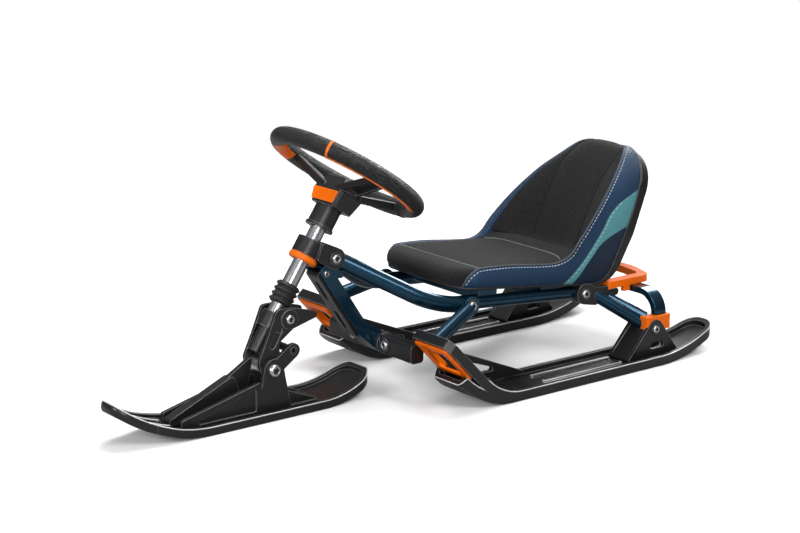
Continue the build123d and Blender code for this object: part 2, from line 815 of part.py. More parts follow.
with BuildPart() as strut_guard:
    guard_half = strut_half_width - strut_plate - slip_fit
    extrude(strut_bar(side_plane(0), guard_set, guard_depth / 2), amount=guard_half, both=True)
    strut_middle = Vector(strut_knee[0], 0, strut_knee[1]) + strut_run / 2
    slot_pitch = strut_run.length / 2
    with BuildSketch(Plane(origin=strut_middle, x_dir=strut_along, z_dir=strut_front)) as guard_slots:
        with GridLocations(slot_pitch, 0, 2, 1):
            SlotOverall(guard_slot_length, guard_slot_width)
    extrude(amount=guard_set + guard_depth, mode=Mode.SUBTRACT)
    add(down_strut.part, mode=Mode.SUBTRACT)
    add(head_bracket.part, mode=Mode.SUBTRACT)
save(strut_guard.part, "strut_guard")

# Crossbar between the foot hoops, with a clevis for the strut's foot
hoop_inner_y = ski_y - rear_width / 2
with BuildPart() as crossbar:
    with BuildSketch(side_plane(0)):
        with Locations((crossbar_x, crossbar_z)):
            RectangleRounded(crossbar_depth, crossbar_height, crossbar_edge)
    extrude(amount=hoop_inner_y - seat_gap, both=True)
    clevis_half = strut_half_width + crossbar_cheek
    extrude(disc(cross_plane(crossbar_x, crossbar_z), crossbar_boss), amount=clevis_half, both=True)
    mouth = disc(cross_plane(crossbar_x, crossbar_z), 3 * crossbar_boss)
    extrude(mouth, amount=strut_half_width + slip_fit, both=True, mode=Mode.SUBTRACT)
    extrude(disc(cross_plane(crossbar_x, crossbar_z), crossbar_pin), amount=clevis_half, both=True)
save(crossbar.part, "crossbar")

# Rear ski: sole with an upturned toe, raised rim, deck ribs, foot hoop and inner brace
rear_toe = (rear_toe_x, rear_toe_radius, rear_toe_angle)
rear_heel = (rear_heel_x, rear_heel_radius, arc_angle(rear_heel_x - rear_tail_x, rear_heel_radius))
rear_half = rear_width / 2
toe_tip_x = rear_toe_x + rear_toe_radius * math.sin(math.radians(rear_toe_angle)) + rear_toe_overrun
rear_plan = (
    (toe_tip_x, -rear_half * rear_toe_share),
    (toe_tip_x, rear_half * rear_toe_share),
    (toe_tip_x - rear_toe_taper, rear_half),
    (rear_heel_x, rear_half),
    (rear_tail_x, rear_tail_width / 2),
    (rear_tail_x, -rear_tail_width / 2),
    (rear_heel_x, -rear_half),
    (toe_tip_x - rear_toe_taper, -rear_half),
)
ski_plan = Plane(origin=(0, ski_y, 0))
hoop_out = hoop_radius + hoop_depth
hoop_angle = math.radians(hoop_slope)
ramp_dir = Vector(math.cos(hoop_angle), 0, math.sin(hoop_angle))
ramp_out = Vector(math.sin(hoop_angle), 0, -math.cos(hoop_angle))
ramp_foot = Vector(hoop_foot_x, ski_y, hoop_out) + ramp_out * hoop_radius
ramp_plane = Plane(origin=ramp_foot, x_dir=(0, 1, 0), z_dir=ramp_out)


def hoop_side(inner, outer):
    """Side outline of the hoop's band between two depths under its back face."""
    with BuildSketch(side_plane(ski_y)) as face:
        with BuildLine():
            bend_back = CenterArc((hoop_foot_x, hoop_out), hoop_radius + inner, -90, hoop_slope)
            bend_front = CenterArc((hoop_foot_x, hoop_out), hoop_radius + outer, -90, hoop_slope)
            reach = (hoop_length * math.cos(hoop_angle), hoop_length * math.sin(hoop_angle))
            back_end = bend_back @ 1 + Vector(*reach)
            front_end = bend_front @ 1 + Vector(*reach)
            Line(bend_back @ 1, back_end)
            Line(bend_front @ 1, front_end)
            Line(back_end, front_end)
            Line(bend_back @ 0, bend_front @ 0)
        make_face()
    return face.sketch


def hoop_outline(half, foot, top, rounding):
    """Outline on the ramp with its two upper corners cut and rounded, grown or drawn in through its sizes."""
    corners = (
        (-half, foot),
        (-half, top - hoop_corner),
        (-half + hoop_corner_run, top),
        (half - hoop_corner_run, top),
        (half, top - hoop_corner),
        (half, foot),
    )
    return outline(ramp_plane, corners, (0, rounding, rounding, rounding, rounding, 0))


window_half = rear_half - hoop_leg
window_top = hoop_length - hoop_bar
below_hoop = -4 * hoop_radius
with BuildPart() as hoop:
    extrude(hoop_side(0, hoop_depth), amount=rear_half, both=True)
    hoop_face = hoop_outline(rear_half, below_hoop, hoop_length, hoop_rounding)
    extrude(hoop_face, amount=4 * hoop_radius, both=True, mode=Mode.INTERSECT)
    window = hoop_outline(window_half, hoop_window_foot, window_top, hoop_rounding)
    extrude(window, amount=hoop_radius, both=True, mode=Mode.SUBTRACT)

with BuildPart() as brace:
    brace_middle_y = hoop_inner_y + brace_inset + brace_thickness / 2
    brace_plane = side_plane(brace_middle_y)
    brace_top = ramp_foot + ramp_dir * brace_head
    brace_seat = brace_top + ramp_out * brace_root
    ramp_seat = ramp_foot + ramp_out * brace_root
    brace_corners = (
        (brace_top.X, brace_top.Z),
        (brace_seat.X, brace_seat.Z),
        (ramp_seat.X, ramp_seat.Z),
        (hoop_foot_x, hoop_depth - brace_root),
        (brace_foot[0], hoop_depth - brace_root),
        brace_foot,
    )
    brace_plate = outline(brace_plane, brace_corners, [0] * len(brace_corners))
    extrude(brace_plate, amount=brace_thickness / 2, both=True)
    brace_hole = outline(brace_plane, brace_window, [brace_rounding] * len(brace_window))
    extrude(brace_hole, amount=brace_thickness, both=True, mode=Mode.SUBTRACT)

with BuildPart() as rear_pocket:
    rear_space = ski_side(ski_y, rear_toe, rear_heel, rear_floor, 4 * rear_edge)
    extrude(rear_space, amount=rear_width, both=True)
    rear_deck = inset_outline(ski_plan, rear_plan, rear_plan_radii, ski_rim)
    extrude(rear_deck, amount=plan_height, mode=Mode.INTERSECT)

with BuildPart() as rear_ribs:
    for side in (1, -1):
        rib_band = ski_side(ski_y + side * rear_rib_y, rear_toe, rear_heel, 0, rear_floor + ski_rib_height)
        extrude(rib_band, amount=ski_rib / 2, both=True)
    rib_span = span_outline(ski_y, rear_rib_rear_x, rear_rib_front_x, rear_width)
    extrude(rib_span, amount=plan_height, mode=Mode.INTERSECT)

with BuildPart() as rear_ski:
    extrude(ski_side(ski_y, rear_toe, rear_heel, 0, rear_edge), amount=rear_width, both=True)
    extrude(outline(ski_plan, rear_plan, rear_plan_radii), amount=plan_height, mode=Mode.INTERSECT)
    add(rear_pocket.part, mode=Mode.SUBTRACT)
    add(rear_ribs.part)
    add(hoop.part)
    add(brace.part)
save_pair(rear_ski.part, "rear_ski")

# Coloured insert inside each hoop's window
with BuildPart() as hoop_insert:
    insert_side = hoop_side(hoop_depth - insert_depth, hoop_depth + insert_proud)
    extrude(insert_side, amount=rear_half, both=True)
    insert_half_width = window_half - seat_gap
    insert_foot = hoop_window_foot + seat_gap
    insert_face = hoop_outline(insert_half_width, insert_foot, window_top - seat_gap, hoop_rounding)
    extrude(insert_face, amount=hoop_radius, both=True, mode=Mode.INTERSECT)
    mouth_half = window_half - insert_band
    insert_mouth = hoop_outline(mouth_half, below_hoop, window_top - insert_band, hoop_rounding)
    extrude(insert_mouth, amount=hoop_radius, both=True, mode=Mode.SUBTRACT)
    add(rear_ski.part, mode=Mode.SUBTRACT)
save_pair(hoop_insert.part, "hoop_insert")

# Front legs: tube from the rail's lug to the hoop's back
lug_x, _, lug_z = rail_at(leg_bolt_x)
lug_y = rail_corner[1] + rail_radius + seat_gap
leg_top = (leg_bolt_x + leg_lead, lug_y + leg_radius, lug_z - leg_drop)
front_leg_foot = (leg_foot_at[0], ski_y - leg_foot_in, leg_foot_at[1])
with BuildPart() as leg:
    extrude(disc(cross_plane(lug_x, lug_z, lug_y), leg_lug_radius), amount=leg_lug_plate)
    tube(leg_top, front_leg_foot, leg_radius)
    add(rail_envelope.part, mode=Mode.SUBTRACT)
    add(rear_ski.part, mode=Mode.SUBTRACT)
save_pair(leg.part, "front_leg")

# Seat shell: pan and back bent from one sheet, rounded in plan and at the top of the back
fold = math.radians(back_lean - seat_slope)
shell_inside = back_point(shell_back, (shell_thickness - shell_back * math.sin(fold)) / math.cos(fold))
shell_corners = (
    seat_point(0, 0),
    seat_point(seat_length, 0),
    back_point(0, back_height),
    back_point(shell_back, back_height),
    shell_inside,
    seat_point(0, shell_thickness),
)
shell_radii = (0, shell_bend, 0, 0, shell_bend - shell_back, 0)
pan_taper_x = seat_front_x - seat_length / 3
pan_far_x = seat_front_x - 3 * seat_length
pan_corners = (
    (seat_front_x, -seat_front_half_width),
    (seat_front_x, seat_front_half_width),
    (pan_taper_x, seat_half_width),
    (pan_far_x, seat_half_width),
    (pan_far_x, -seat_half_width),
    (pan_taper_x, -seat_half_width),
)
pan_radii = (seat_corner, seat_corner, seat_side_radius, 0, 0, seat_side_radius)
back_foot = seat_point(seat_length, 0)
lean_sin = math.sin(math.radians(back_lean))
lean_cos = math.cos(math.radians(back_lean))
back_plane = Plane(origin=(back_foot[0], 0, back_foot[1]), x_dir=(0, 1, 0), z_dir=(lean_cos, 0, lean_sin))
back_corners = (
    (-seat_half_width, -back_height),
    (-seat_half_width, back_waist),
    (-back_top_half_width, back_height),
    (back_top_half_width, back_height),
    (seat_half_width, back_waist),
    (seat_half_width, -back_height),
)
back_radii = (0, back_side_radius, back_top_radius, back_top_radius, back_side_radius, 0)
past_seat = 4 * seat_length

with BuildPart() as seat_shell:
    extrude(outline(side_plane(0), shell_corners, shell_radii), amount=seat_half_width, both=True)
    extrude(outline(Plane.XY, pan_corners, pan_radii), amount=past_seat, mode=Mode.INTERSECT)
    extrude(outline(back_plane, back_corners, back_radii), amount=past_seat, both=True, mode=Mode.INTERSECT)
save(seat_shell.part, "seat_shell")

# Cushion on the pan and pad on the back, each a closed soft form
pad_half = seat_half_width - pad_inset
cushion_rise = (cushion_rear_height - cushion_front_height) / (seat_length - cushion_roll)


def cushion_height(back):
    """Height of the cushion's top over the pan's underside."""
    return cushion_front_height + (back - cushion_roll) * cushion_rise


cushion_end = seat_length + shell_bend
cushion_corners = (
    seat_point(pad_inset, shell_thickness + seat_gap),
    seat_point(0, cushion_nose),
    seat_point(cushion_roll, cushion_front_height),
    seat_point(cushion_end, cushion_height(cushion_end)),
    seat_point(cushion_end, shell_thickness + seat_gap),
)
cushion_radii = (0, cushion_nose_radius, cushion_top_radius, 0, 0)
with BuildPart() as back_space:
    space_corners = (
        back_point(shell_back + seat_gap, -past_seat),
        back_point(shell_back + seat_gap, past_seat),
        back_point(past_seat, past_seat),
        back_point(past_seat, -past_seat),
    )
    space_face = outline(side_plane(0), space_corners, [0] * len(space_corners))
    extrude(space_face, amount=seat_half_width, both=True)

with BuildPart() as seat_cushion:
    extrude(outline(side_plane(0), cushion_corners, cushion_radii), amount=pad_half, both=True)
    extrude(inset_outline(Plane.XY, pan_corners, pan_radii, pad_inset), amount=past_seat, mode=Mode.INTERSECT)
    add(back_space.part, mode=Mode.INTERSECT)
    add(seat_shell.part, mode=Mode.SUBTRACT)
save(seat_cushion.part, "seat_cushion")

wing_foot_height = cushion_height(wing_reach) + seat_gap
wing_corners = (
    seat_point(cushion_end, cushion_height(cushion_end) + seat_gap),
    seat_point(wing_reach, wing_foot_height),
    seat_point(wing_reach, wing_foot_height + wing_lip),
    back_point(*wing_foot),
    back_point(*wing_top),
    back_point(*wing_crown),
    back_point(0, back_height - pad_inset),
)
scoop_plane = Plane(origin=back_plane.origin, x_dir=(0, 1, 0), z_dir=(lean_sin, 0, -lean_cos))
scoop_faces = []
for height, (floor_depth, rim_depth) in ((-seat_half_width, scoop_low), (back_height, scoop_high)):
    scoop_corners = (
        (-scoop_floor_half, floor_depth),
        (scoop_floor_half, floor_depth),
        (scoop_rim_half, rim_depth),
        (scoop_rim_half, past_seat),
        (-scoop_rim_half, past_seat),
        (-scoop_rim_half, rim_depth),
    )
    scoop_faces.append(outline(scoop_plane.offset(-height), scoop_corners, [0] * len(scoop_corners)))

with BuildPart() as backrest:
    extrude(outline(side_plane(0), wing_corners, (0, *wing_radii)), amount=pad_half, both=True)
    pad_face = inset_outline(back_plane, back_corners, back_radii, pad_inset)
    extrude(pad_face, amount=past_seat, both=True, mode=Mode.INTERSECT)
    loft(scoop_faces, ruled=True, mode=Mode.SUBTRACT)
    add(back_space.part, mode=Mode.INTERSECT)
    add(seat_shell.part, mode=Mode.SUBTRACT)
save(backrest.part, "backrest_pad")

# Brackets across the rails that carry the seat
for name, middle in bracket_offsets:
    with BuildPart() as seat_bracket:
        bracket_front = middle - seat_bracket_length / 2
        bracket_rear = middle + seat_bracket_length / 2
        bracket_corners = (
            seat_point(bracket_front, -seat_gap),
            seat_point(bracket_rear, -seat_gap),
            seat_point(bracket_rear, -seat_bracket_depth),
            seat_point(bracket_front, -seat_bracket_depth),
        )
        edge_radii = [seat_bracket_side] * len(bracket_corners)
        bracket_half = rail_corner[1] + seat_bracket_side
        extrude(outline(side_plane(0), bracket_corners, edge_radii), amount=bracket_half, both=True)
        add(rail_envelope.part, mode=Mode.SUBTRACT)
        for side in (1, -1):
            start = (seat_rail_start[0], side * seat_rail_start[1], seat_rail_start[2])
            end = (rail_end[0], side * rail_end[1], rail_end[2])
            cut_bar(start, end, seat_rail_radius + seat_gap)
    save(seat_bracket.part, f"seat_bracket_{name}")

# Grab handle: a flat loop open to the front, with a tab under each arm
handle_corners = (
    (handle_front_x, -handle_half_width),
    (handle_front_x, handle_half_width),
    (handle_side_x, handle_half_width),
    (handle_back_x, handle_half_width / 2),
    (handle_back_x, -handle_half_width / 2),
    (handle_side_x, -handle_half_width),
)
handle_inside = handle_half_width - handle_bar
opening_corners = (
    (handle_front_x + handle_bar, -handle_inside),
    (handle_front_x + handle_bar, handle_inside),
    (handle_side_x + handle_bar / 2, handle_inside),
    (handle_back_x + handle_bar, handle_inside / 2),
    (handle_back_x + handle_bar, -handle_inside / 2),
    (handle_side_x + handle_bar / 2, -handle_inside),
)
with BuildPart() as handle:
    extrude(outline(Plane.XY.offset(handle_z), handle_corners, handle_radii), amount=handle_thickness)
    extrude(outline(Plane.XY, opening_corners, handle_inner_radii), amount=past_seat, mode=Mode.SUBTRACT)
    tab_middle = (handle_tab_front_x - handle_tab_length / 2, handle_half_width - handle_tab_thickness / 2)
    with BuildSketch(Plane.XY.offset(handle_z)):
        with Locations(tab_middle, (tab_middle[0], -tab_middle[1])):
            Rectangle(handle_tab_length, handle_tab_thickness)
    extrude(amount=-handle_tab)
    add(seat_shell.part, mode=Mode.SUBTRACT)
save(handle.part, "rear_handle")

# Rear fittings: rail block, then leg and stay down to the ski bracket
leg_start = (rail_end_x - leg_start_run, rail_corner[1] + leg_start_side, rail_end[2] - leg_start_drop)
leg_end = (leg_foot_x, ski_y + leg_foot_side, leg_foot_z)
stay_start = (stay_head[0], rail_corner[1] + stay_head_side, stay_head[1])
stay_end = (stay_foot[0], ski_y + stay_foot_side, stay_foot[1])

with BuildPart() as rail_block:
    block_in_y = rail_corner[1] - rail_block_radius
    block_half = (handle_half_width - block_in_y) / 2
    block_plane = side_plane(block_in_y + block_half)
    block_bolt = (block_bolt_x, rail_at(block_bolt_x)[2], rail_block_radius)
    tail_x = handle_front_x - block_tail_run
    block_tail = (tail_x, handle_z - block_tail_radius, block_tail_radius)
    block_shelf = (handle_front_x, handle_z, block_tail_radius)
    extrude(link(block_plane, block_bolt, block_heel), amount=block_half, both=True)
    extrude(link(block_plane, block_heel, block_tail, block_shelf), amount=block_half, both=True)
    cut_bar(seat_rail_start, rail_at(rail_end_x - slip_fit), seat_rail_radius + slip_fit)
    cut_bar(leg_start, leg_end, rear_leg_radius + slip_fit)
    cut_bar(stay_start, stay_end, rear_stay_radius + slip_fit)
    add(seat_shell.part, mode=Mode.SUBTRACT)
    add(handle.part, mode=Mode.SUBTRACT)
save_pair(rail_block.part, "rail_block")

with BuildPart() as rear_leg:
    tube(leg_start, leg_end, rear_leg_radius)
save_pair(rear_leg.part, "rear_leg")

with BuildPart() as rear_stay:
    tube(stay_start, stay_end, rear_stay_radius)
    add(rear_leg.part, mode=Mode.SUBTRACT)
save_pair(rear_stay.part, "rear_stay")

# Bracket on the rear ski: two plates with a window each, and a web along their front edge
bracket_bolt = (rear_bracket_x, rear_bracket_z, rear_bracket_radius)
bracket_toe = (rear_bracket_x + rear_bracket_front, rear_floor + bracket_toe_radius, bracket_toe_radius)
bracket_heel = (rear_bracket_x - rear_bracket_rear, rear_floor + bracket_toe_radius, bracket_toe_radius)
web_head = (rear_bracket_x + rear_bracket_radius - bracket_toe_radius, rear_bracket_z, bracket_toe_radius)
with BuildPart() as ski_bracket:
    for side in (1, -1):
        plate_plane = side_plane(ski_y + side * (rear_bracket_half_gap + rear_bracket_plate / 2))
        plate = link(plate_plane, bracket_bolt, bracket_toe, bracket_heel)
        extrude(plate, amount=rear_bracket_plate / 2, both=True)
        hole_corners = [(rear_bracket_x + x, rear_bracket_z + z) for x, z in bracket_window]
        hole = outline(plate_plane, hole_corners, [bracket_window_edge] * len(hole_corners))
        extrude(hole, amount=rear_bracket_plate, both=True, mode=Mode.SUBTRACT)
    extrude(link(side_plane(ski_y), bracket_toe, web_head), amount=rear_bracket_half_gap, both=True)
    rear_deck_under = ski_side(ski_y, rear_toe, rear_heel, -rear_edge, rear_floor + slip_fit)
    extrude(rear_deck_under, amount=rear_width, both=True, mode=Mode.SUBTRACT)
    add(rear_leg.part, mode=Mode.SUBTRACT)
    add(rear_stay.part, mode=Mode.SUBTRACT)
save_pair(ski_bracket.part, "ski_bracket")

# Arch from the handle's arm down to the ski bracket, and the cap over its foot
arch_top = handle_z - seat_gap
arch_root_y = handle_half_width - arch_root
arch_out_y = ski_y + rear_bracket_half_gap
arch_foot_z = cap_top_z + seat_gap
arch_corners = (
    (arch_root_y, arch_top),
    (arch_out_y, arch_top),
    (arch_out_y, arch_foot_z),
    (arch_out_y - arch_thickness, arch_foot_z),
    (arch_out_y - arch_thickness, arch_top - arch_thickness),
    (arch_root_y, arch_top - arch_thickness),
)
arch_radii = (0, arch_bend, 0, 0, arch_bend - arch_thickness, 0)
with BuildPart() as arch:
    arch_plane = Plane(origin=(arch_x, 0, 0), x_dir=(0, 1, 0), z_dir=(1, 0, 0))
    extrude(outline(arch_plane, arch_corners, arch_radii), amount=arch_width / 2, both=True)
save_pair(arch.part, "arch")

with BuildPart() as arch_cap:
    with BuildSketch(Plane.XY.offset(cap_top_z)):
        with Locations((cap_x, arch_out_y - arch_thickness / 2)):
            RectangleRounded(cap_length, arch_thickness + 2 * cap_margin, cap_corner)
    extrude(amount=-cap_height)
    add(ski_bracket.part, mode=Mode.SUBTRACT)
    add(rear_leg.part, mode=Mode.SUBTRACT)
    add(rear_stay.part, mode=Mode.SUBTRACT)
save_pair(arch_cap.part, "arch_cap")
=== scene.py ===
"""Looks of a steerable sled: finishes, upholstery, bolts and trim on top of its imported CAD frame."""

import json
import logging
import math
from abc import ABC, abstractmethod
from collections.abc import Sequence
from dataclasses import dataclass
from enum import Enum
from typing import NamedTuple

import bmesh
import bpy
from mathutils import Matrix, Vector


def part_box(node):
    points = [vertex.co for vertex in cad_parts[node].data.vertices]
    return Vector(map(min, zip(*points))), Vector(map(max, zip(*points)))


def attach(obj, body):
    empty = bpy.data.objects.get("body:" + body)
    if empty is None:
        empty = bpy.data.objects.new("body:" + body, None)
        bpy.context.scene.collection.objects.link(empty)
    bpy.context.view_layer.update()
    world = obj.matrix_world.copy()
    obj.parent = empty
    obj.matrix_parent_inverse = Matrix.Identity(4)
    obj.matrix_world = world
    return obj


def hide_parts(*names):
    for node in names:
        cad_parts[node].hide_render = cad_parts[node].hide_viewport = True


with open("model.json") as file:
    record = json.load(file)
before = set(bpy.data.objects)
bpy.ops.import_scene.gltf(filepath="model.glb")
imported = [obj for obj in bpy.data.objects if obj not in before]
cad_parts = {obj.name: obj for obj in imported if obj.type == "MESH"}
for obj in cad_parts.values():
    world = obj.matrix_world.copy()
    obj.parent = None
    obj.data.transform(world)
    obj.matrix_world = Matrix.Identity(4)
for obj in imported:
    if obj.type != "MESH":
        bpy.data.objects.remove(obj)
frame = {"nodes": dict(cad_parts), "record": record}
log = logging.getLogger("sled")
MM = 0.001
TINY = 1e-6
SOFT_ANGLE = 60.0


class Body(str, Enum):
    """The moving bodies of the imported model."""

    FRAME = "frame"
    STEERING = "steering"
    SKI = "ski"


class Slot(str, Enum):
    """The record's material slots."""

    BLACK = "black_plastic"
    SKI = "ski_plastic"
    BOOT = "boot_rubber"
    GRIP = "grip_rubber"
    BLUE = "blue_paint"
    ORANGE = "accent_orange"
    CHROME = "column_chrome"
    STEEL = "bolt_steel"
    FABRIC = "seat_fabric"
    VINYL = "seat_vinyl"


class Side(Enum):
    """The two sides of the sled, as the sign of Y."""

    LEFT = 1.0
    RIGHT = -1.0

    @property
    def label(self) -> str:
        """The side's name as the pieces carry it."""
        return self.name.lower()


Colour = tuple[float, float, float]
Span = tuple[float, float]
Socket = bpy.types.NodeSocket
Node = bpy.types.Node
Piece = bpy.types.Object
Input = Socket | Colour | float


def add_object(name: str, data: bpy.types.ID) -> Piece:
    """Puts a new object into the scene.

    Args:
        name: the object's name.
        data: its mesh, lamp or camera.

    Returns:
        The object.
    """
    item = bpy.data.objects.new(name, data)
    bpy.context.scene.collection.objects.link(item)
    return item


def circle(middle: Vector, first: Vector, second: Vector, radius: float, count: int) -> list[Vector]:
    """Spreads points round a circle.

    Args:
        middle: the circle's middle.
        first: a unit direction in its plane, towards the first point.
        second: another one, square to the first.
        radius: its radius.
        count: how many points.

    Returns:
        The points, in the unit of the middle and the radius.
    """
    turns = [2.0 * math.pi * step / count for step in range(count)]
    return [middle + (first * math.cos(turn) + second * math.sin(turn)) * radius for turn in turns]


def ring_faces(rings: int, count: int, closed: bool = False, base: int = 0) -> list[list[int]]:
    """Skins a row of rings of points.

    Args:
        rings: how many rings there are.
        count: points in each ring.
        closed: joins the last ring to the first; otherwise the end rings get caps.
        base: number of the first ring's first point.

    Returns:
        The vertex numbers of each face: the bands ring by ring, then the two caps.
    """
    faces = []
    for ring in range(rings if closed else rings - 1):
        here, there = base + ring * count, base + (ring + 1) % rings * count
        for step in range(count):
            after = (step + 1) % count
            faces.append([here + step, here + after, there + after, there + step])
    if not closed:
        last = base + (rings - 1) * count
        faces.append(list(range(base, base + count)))
        faces.append(list(range(last, last + count)))
    return faces


@dataclass
class Tree:
    """The node tree of a material, a world or a group, filled with nodes by short calls."""

    tree: bpy.types.NodeTree

    def link(self, source: Socket, target: Socket) -> None:
        """Joins an output socket to an input socket."""
        self.tree.links.new(source, target)

    def put(self, value: Input, target: Socket) -> None:
        """Fills an input socket.

        Args:
            value: a socket that is joined to it, a colour or a number.
            target: the input socket.
        """
        if isinstance(value, Socket):
            self.link(value, target)
        else:
            target.default_value = (*value, 1.0) if isinstance(value, tuple) else value

    def node(self, kind: str, inputs: dict[str | int, Input] | None = None, **settings: object) -> Node:
        """Adds a node.

        Args:
            kind: the node's type name without its ShaderNode prefix.
            inputs: what fills its input sockets, by their names or numbers.
            settings: properties of the node.

        Returns:
            The new node.
        """
        node = self.tree.nodes.new("ShaderNode" + kind)
        for key, value in settings.items():
            setattr(node, key, value)
        for key, value in (inputs or {}).items():
            self.put(value, node.inputs[key])
        return node

    def math(self, operation: str, first: Socket | float, second: Socket | float = 0.0) -> Socket:
        """Adds a maths node.

        Args:
            operation: what the node does, such as MULTIPLY.
            first: a socket or a number.
            second: a socket or a number.

        Returns:
            The result's socket.
        """
        return self.node("Math", {0: first, 1: second}, operation=operation).outputs[0]

    def ramp(self, value: Socket, low: float, high: float, start: float = 0.0, end: float = 1.0) -> Socket:
        """Maps a value smoothly from one range to another.

        Args:
            value: the socket that is mapped.
            low: where the change starts.
            high: where the change ends.
            start: the result at low.
            end: the result at high.

        Returns:
            The mapped value's socket.
        """
        inputs = {"Value": value, "From Min": low, "From Max": high, "To Min": start, "To Max": end}
        return self.node("MapRange", inputs, interpolation_type="SMOOTHSTEP").outputs["Result"]

    def blend(self, mask: Socket, first: Socket | Colour, second: Socket | Colour) -> Socket:
        """Mixes two colours by a mask.

        Args:
            mask: 0 for the first colour, 1 for the second.
            first: a colour or a colour socket.
            second: a colour or a colour socket.

        Returns:
            The mixed colour's socket.
        """
        return self.node("Mix", {"Factor": mask, 6: first, 7: second}, data_type="RGBA").outputs[2]


class Groups:
    """Shader node groups that several finishes share."""

    def __init__(self) -> None:
        """Builds the groups."""
        self.grain = self._grain()
        self.edge = self._edge()
        self.weave = self._weave()

    def _new(self, name: str, number: str, outputs: dict[str, str]) -> tuple[Tree, Node, Node]:
        """Starts a group.

        Args:
            name: the group's name.
            number: name of its one input, a number.
            outputs: names of its outputs with their socket types.

        Returns:
            The group's tree, its input node and its output node.
        """
        group = bpy.data.node_groups.new(name, "ShaderNodeTree")
        group.interface.new_socket(number, in_out="INPUT", socket_type="NodeSocketFloat")
        for label, kind in outputs.items():
            group.interface.new_socket(label, in_out="OUTPUT", socket_type=kind)
        start = group.nodes.new("NodeGroupInput")
        end = group.nodes.new("NodeGroupOutput")
        return Tree(group), start, end

    def _grain(self) -> bpy.types.NodeTree:
        """Makes the grain of moulded or embossed surfaces.

        Returns:
            A group with a fine noise, a cell pattern and broad clouds, all from 0 to 1.
        """
        kinds = {"Fine": "NodeSocketFloat", "Cells": "NodeSocketFloat", "Clouds": "NodeSocketFloat"}
        tree, start, end = self._new("surface_grain", "Scale", kinds)
        place = tree.node("TexCoord").outputs["Object"]
        scale = start.outputs["Scale"]
        fine = tree.node("TexNoise", {"Vector": place, "Scale": scale, "Detail": 3.0})
        cells = tree.node("TexVoronoi", {"Vector": place, "Scale": scale}, feature="DISTANCE_TO_EDGE")
        clouds = tree.node("TexNoise", {"Vector": place, "Scale": 14.0})
        tree.link(fine.outputs[0], end.inputs["Fine"])
        tree.link(tree.ramp(cells.outputs["Distance"], 0.0, 0.32), end.inputs["Cells"])
        tree.link(tree.ramp(clouds.outputs[0], 0.3, 0.7), end.inputs["Clouds"])
        return tree.tree

    def _edge(self) -> bpy.types.NodeTree:
        """Makes rounded edges in the shading.

        Returns:
            A group with the rounded normal and a mask of the edges, where the hard finishes paint a
            highlight.
        """
        kinds = {"Normal": "NodeSocketVector", "Edge": "NodeSocketFloat"}
        tree, start, end = self._new("soft_edge", "Radius", kinds)
        normal = tree.node("Bevel", {"Radius": start.outputs["Radius"]}, samples=6).outputs["Normal"]
        flat = tree.node("NewGeometry").outputs["Normal"]
        dot = tree.node("VectorMath", {0: normal, 1: flat}, operation="DOT_PRODUCT")
        bend = tree.math("SUBTRACT", 1.0, dot.outputs["Value"])
        tree.link(normal, end.inputs["Normal"])
        tree.link(tree.ramp(bend, 0.02, 0.22), end.inputs["Edge"])
        return tree.tree

    def _weave(self) -> bpy.types.NodeTree:
        """Makes a cloth weave in the object's own coordinates.

        Returns:
            A group with the height of the threads and a mottled mask.
        """
        kinds = {"Height": "NodeSocketFloat", "Mottle": "NodeSocketFloat"}
        tree, start, end = self._new("cloth_weave", "Scale", kinds)
        place = tree.node("TexCoord").outputs["Object"]
        split = tree.node("SeparateXYZ", {0: place})
        along = tree.math("SUBTRACT", split.outputs["X"], split.outputs["Z"])
        waves = []
        for value in (along, split.outputs["Y"]):
            turns = tree.math("MULTIPLY", value, start.outputs["Scale"])
            waves.append(tree.math("SINE", turns))
        threads = tree.math("MULTIPLY", waves[0], waves[1])
        mottle = tree.node("TexNoise", {"Vector": place, "Scale": 420.0, "Detail": 6.0})
        tree.link(tree.ramp(threads, -1.0, 1.0), end.inputs["Height"])
        tree.link(tree.ramp(mottle.outputs[0], 0.3, 0.7), end.inputs["Mottle"])
        return tree.tree


class Shader(Tree):
    """A material with a Principled shader."""

    def __init__(self, name: str) -> None:
        """Starts the material.

        Args:
            name: the material's name.
        """
        self.material = bpy.data.materials.new(name)
        self.material.use_nodes = True
        super().__init__(self.material.node_tree)
        self.shader = self.tree.nodes["Principled BSDF"]

    def group(self, group: bpy.types.NodeTree, **numbers: float) -> Node:
        """Adds a shared group.

        Args:
            group: the group's tree.
            numbers: values of its inputs.

        Returns:
            The group's node.
        """
        return self.node("Group", numbers, node_tree=group)

    def set(self, **values: float) -> None:
        """Sets constants on the shader's own sockets, named with _ for a space."""
        for key, value in values.items():
            self.shader.inputs[key.replace("_", " ")].default_value = value

    def feed(self, name: str, source: Socket) -> None:
        """Joins a socket to one of the shader's inputs."""
        self.link(source, self.shader.inputs[name])

    def bump(self, height: Socket, depth: float, normal: Socket | None = None) -> None:
        """Adds relief to the shader's normal.

        Args:
            height: a height from 0 to 1.
            depth: what 1 stands for, in metres.
            normal: a normal that the relief is added to.
        """
        inputs = {"Distance": depth, "Height": height}
        if normal is not None:
            inputs["Normal"] = normal
        self.feed("Normal", self.node("Bump", inputs).outputs["Normal"])


@dataclass(frozen=True)
class Finish(ABC):
    """A named look; each kind of surface fills in its own shader nodes."""

    name: str

    @abstractmethod
    def fill(self, shader: Shader, groups: Groups) -> None:
        """Adds the look's nodes.

        Args:
            shader: the material that is built.
            groups: the shared node groups.
        """

    def material(self, groups: Groups) -> bpy.types.Material:
        """Builds the material.

        Args:
            groups: the shared node groups.

        Returns:
            The material.
        """
        shader = Shader(self.name)
        self.fill(shader, groups)
        return shader.material


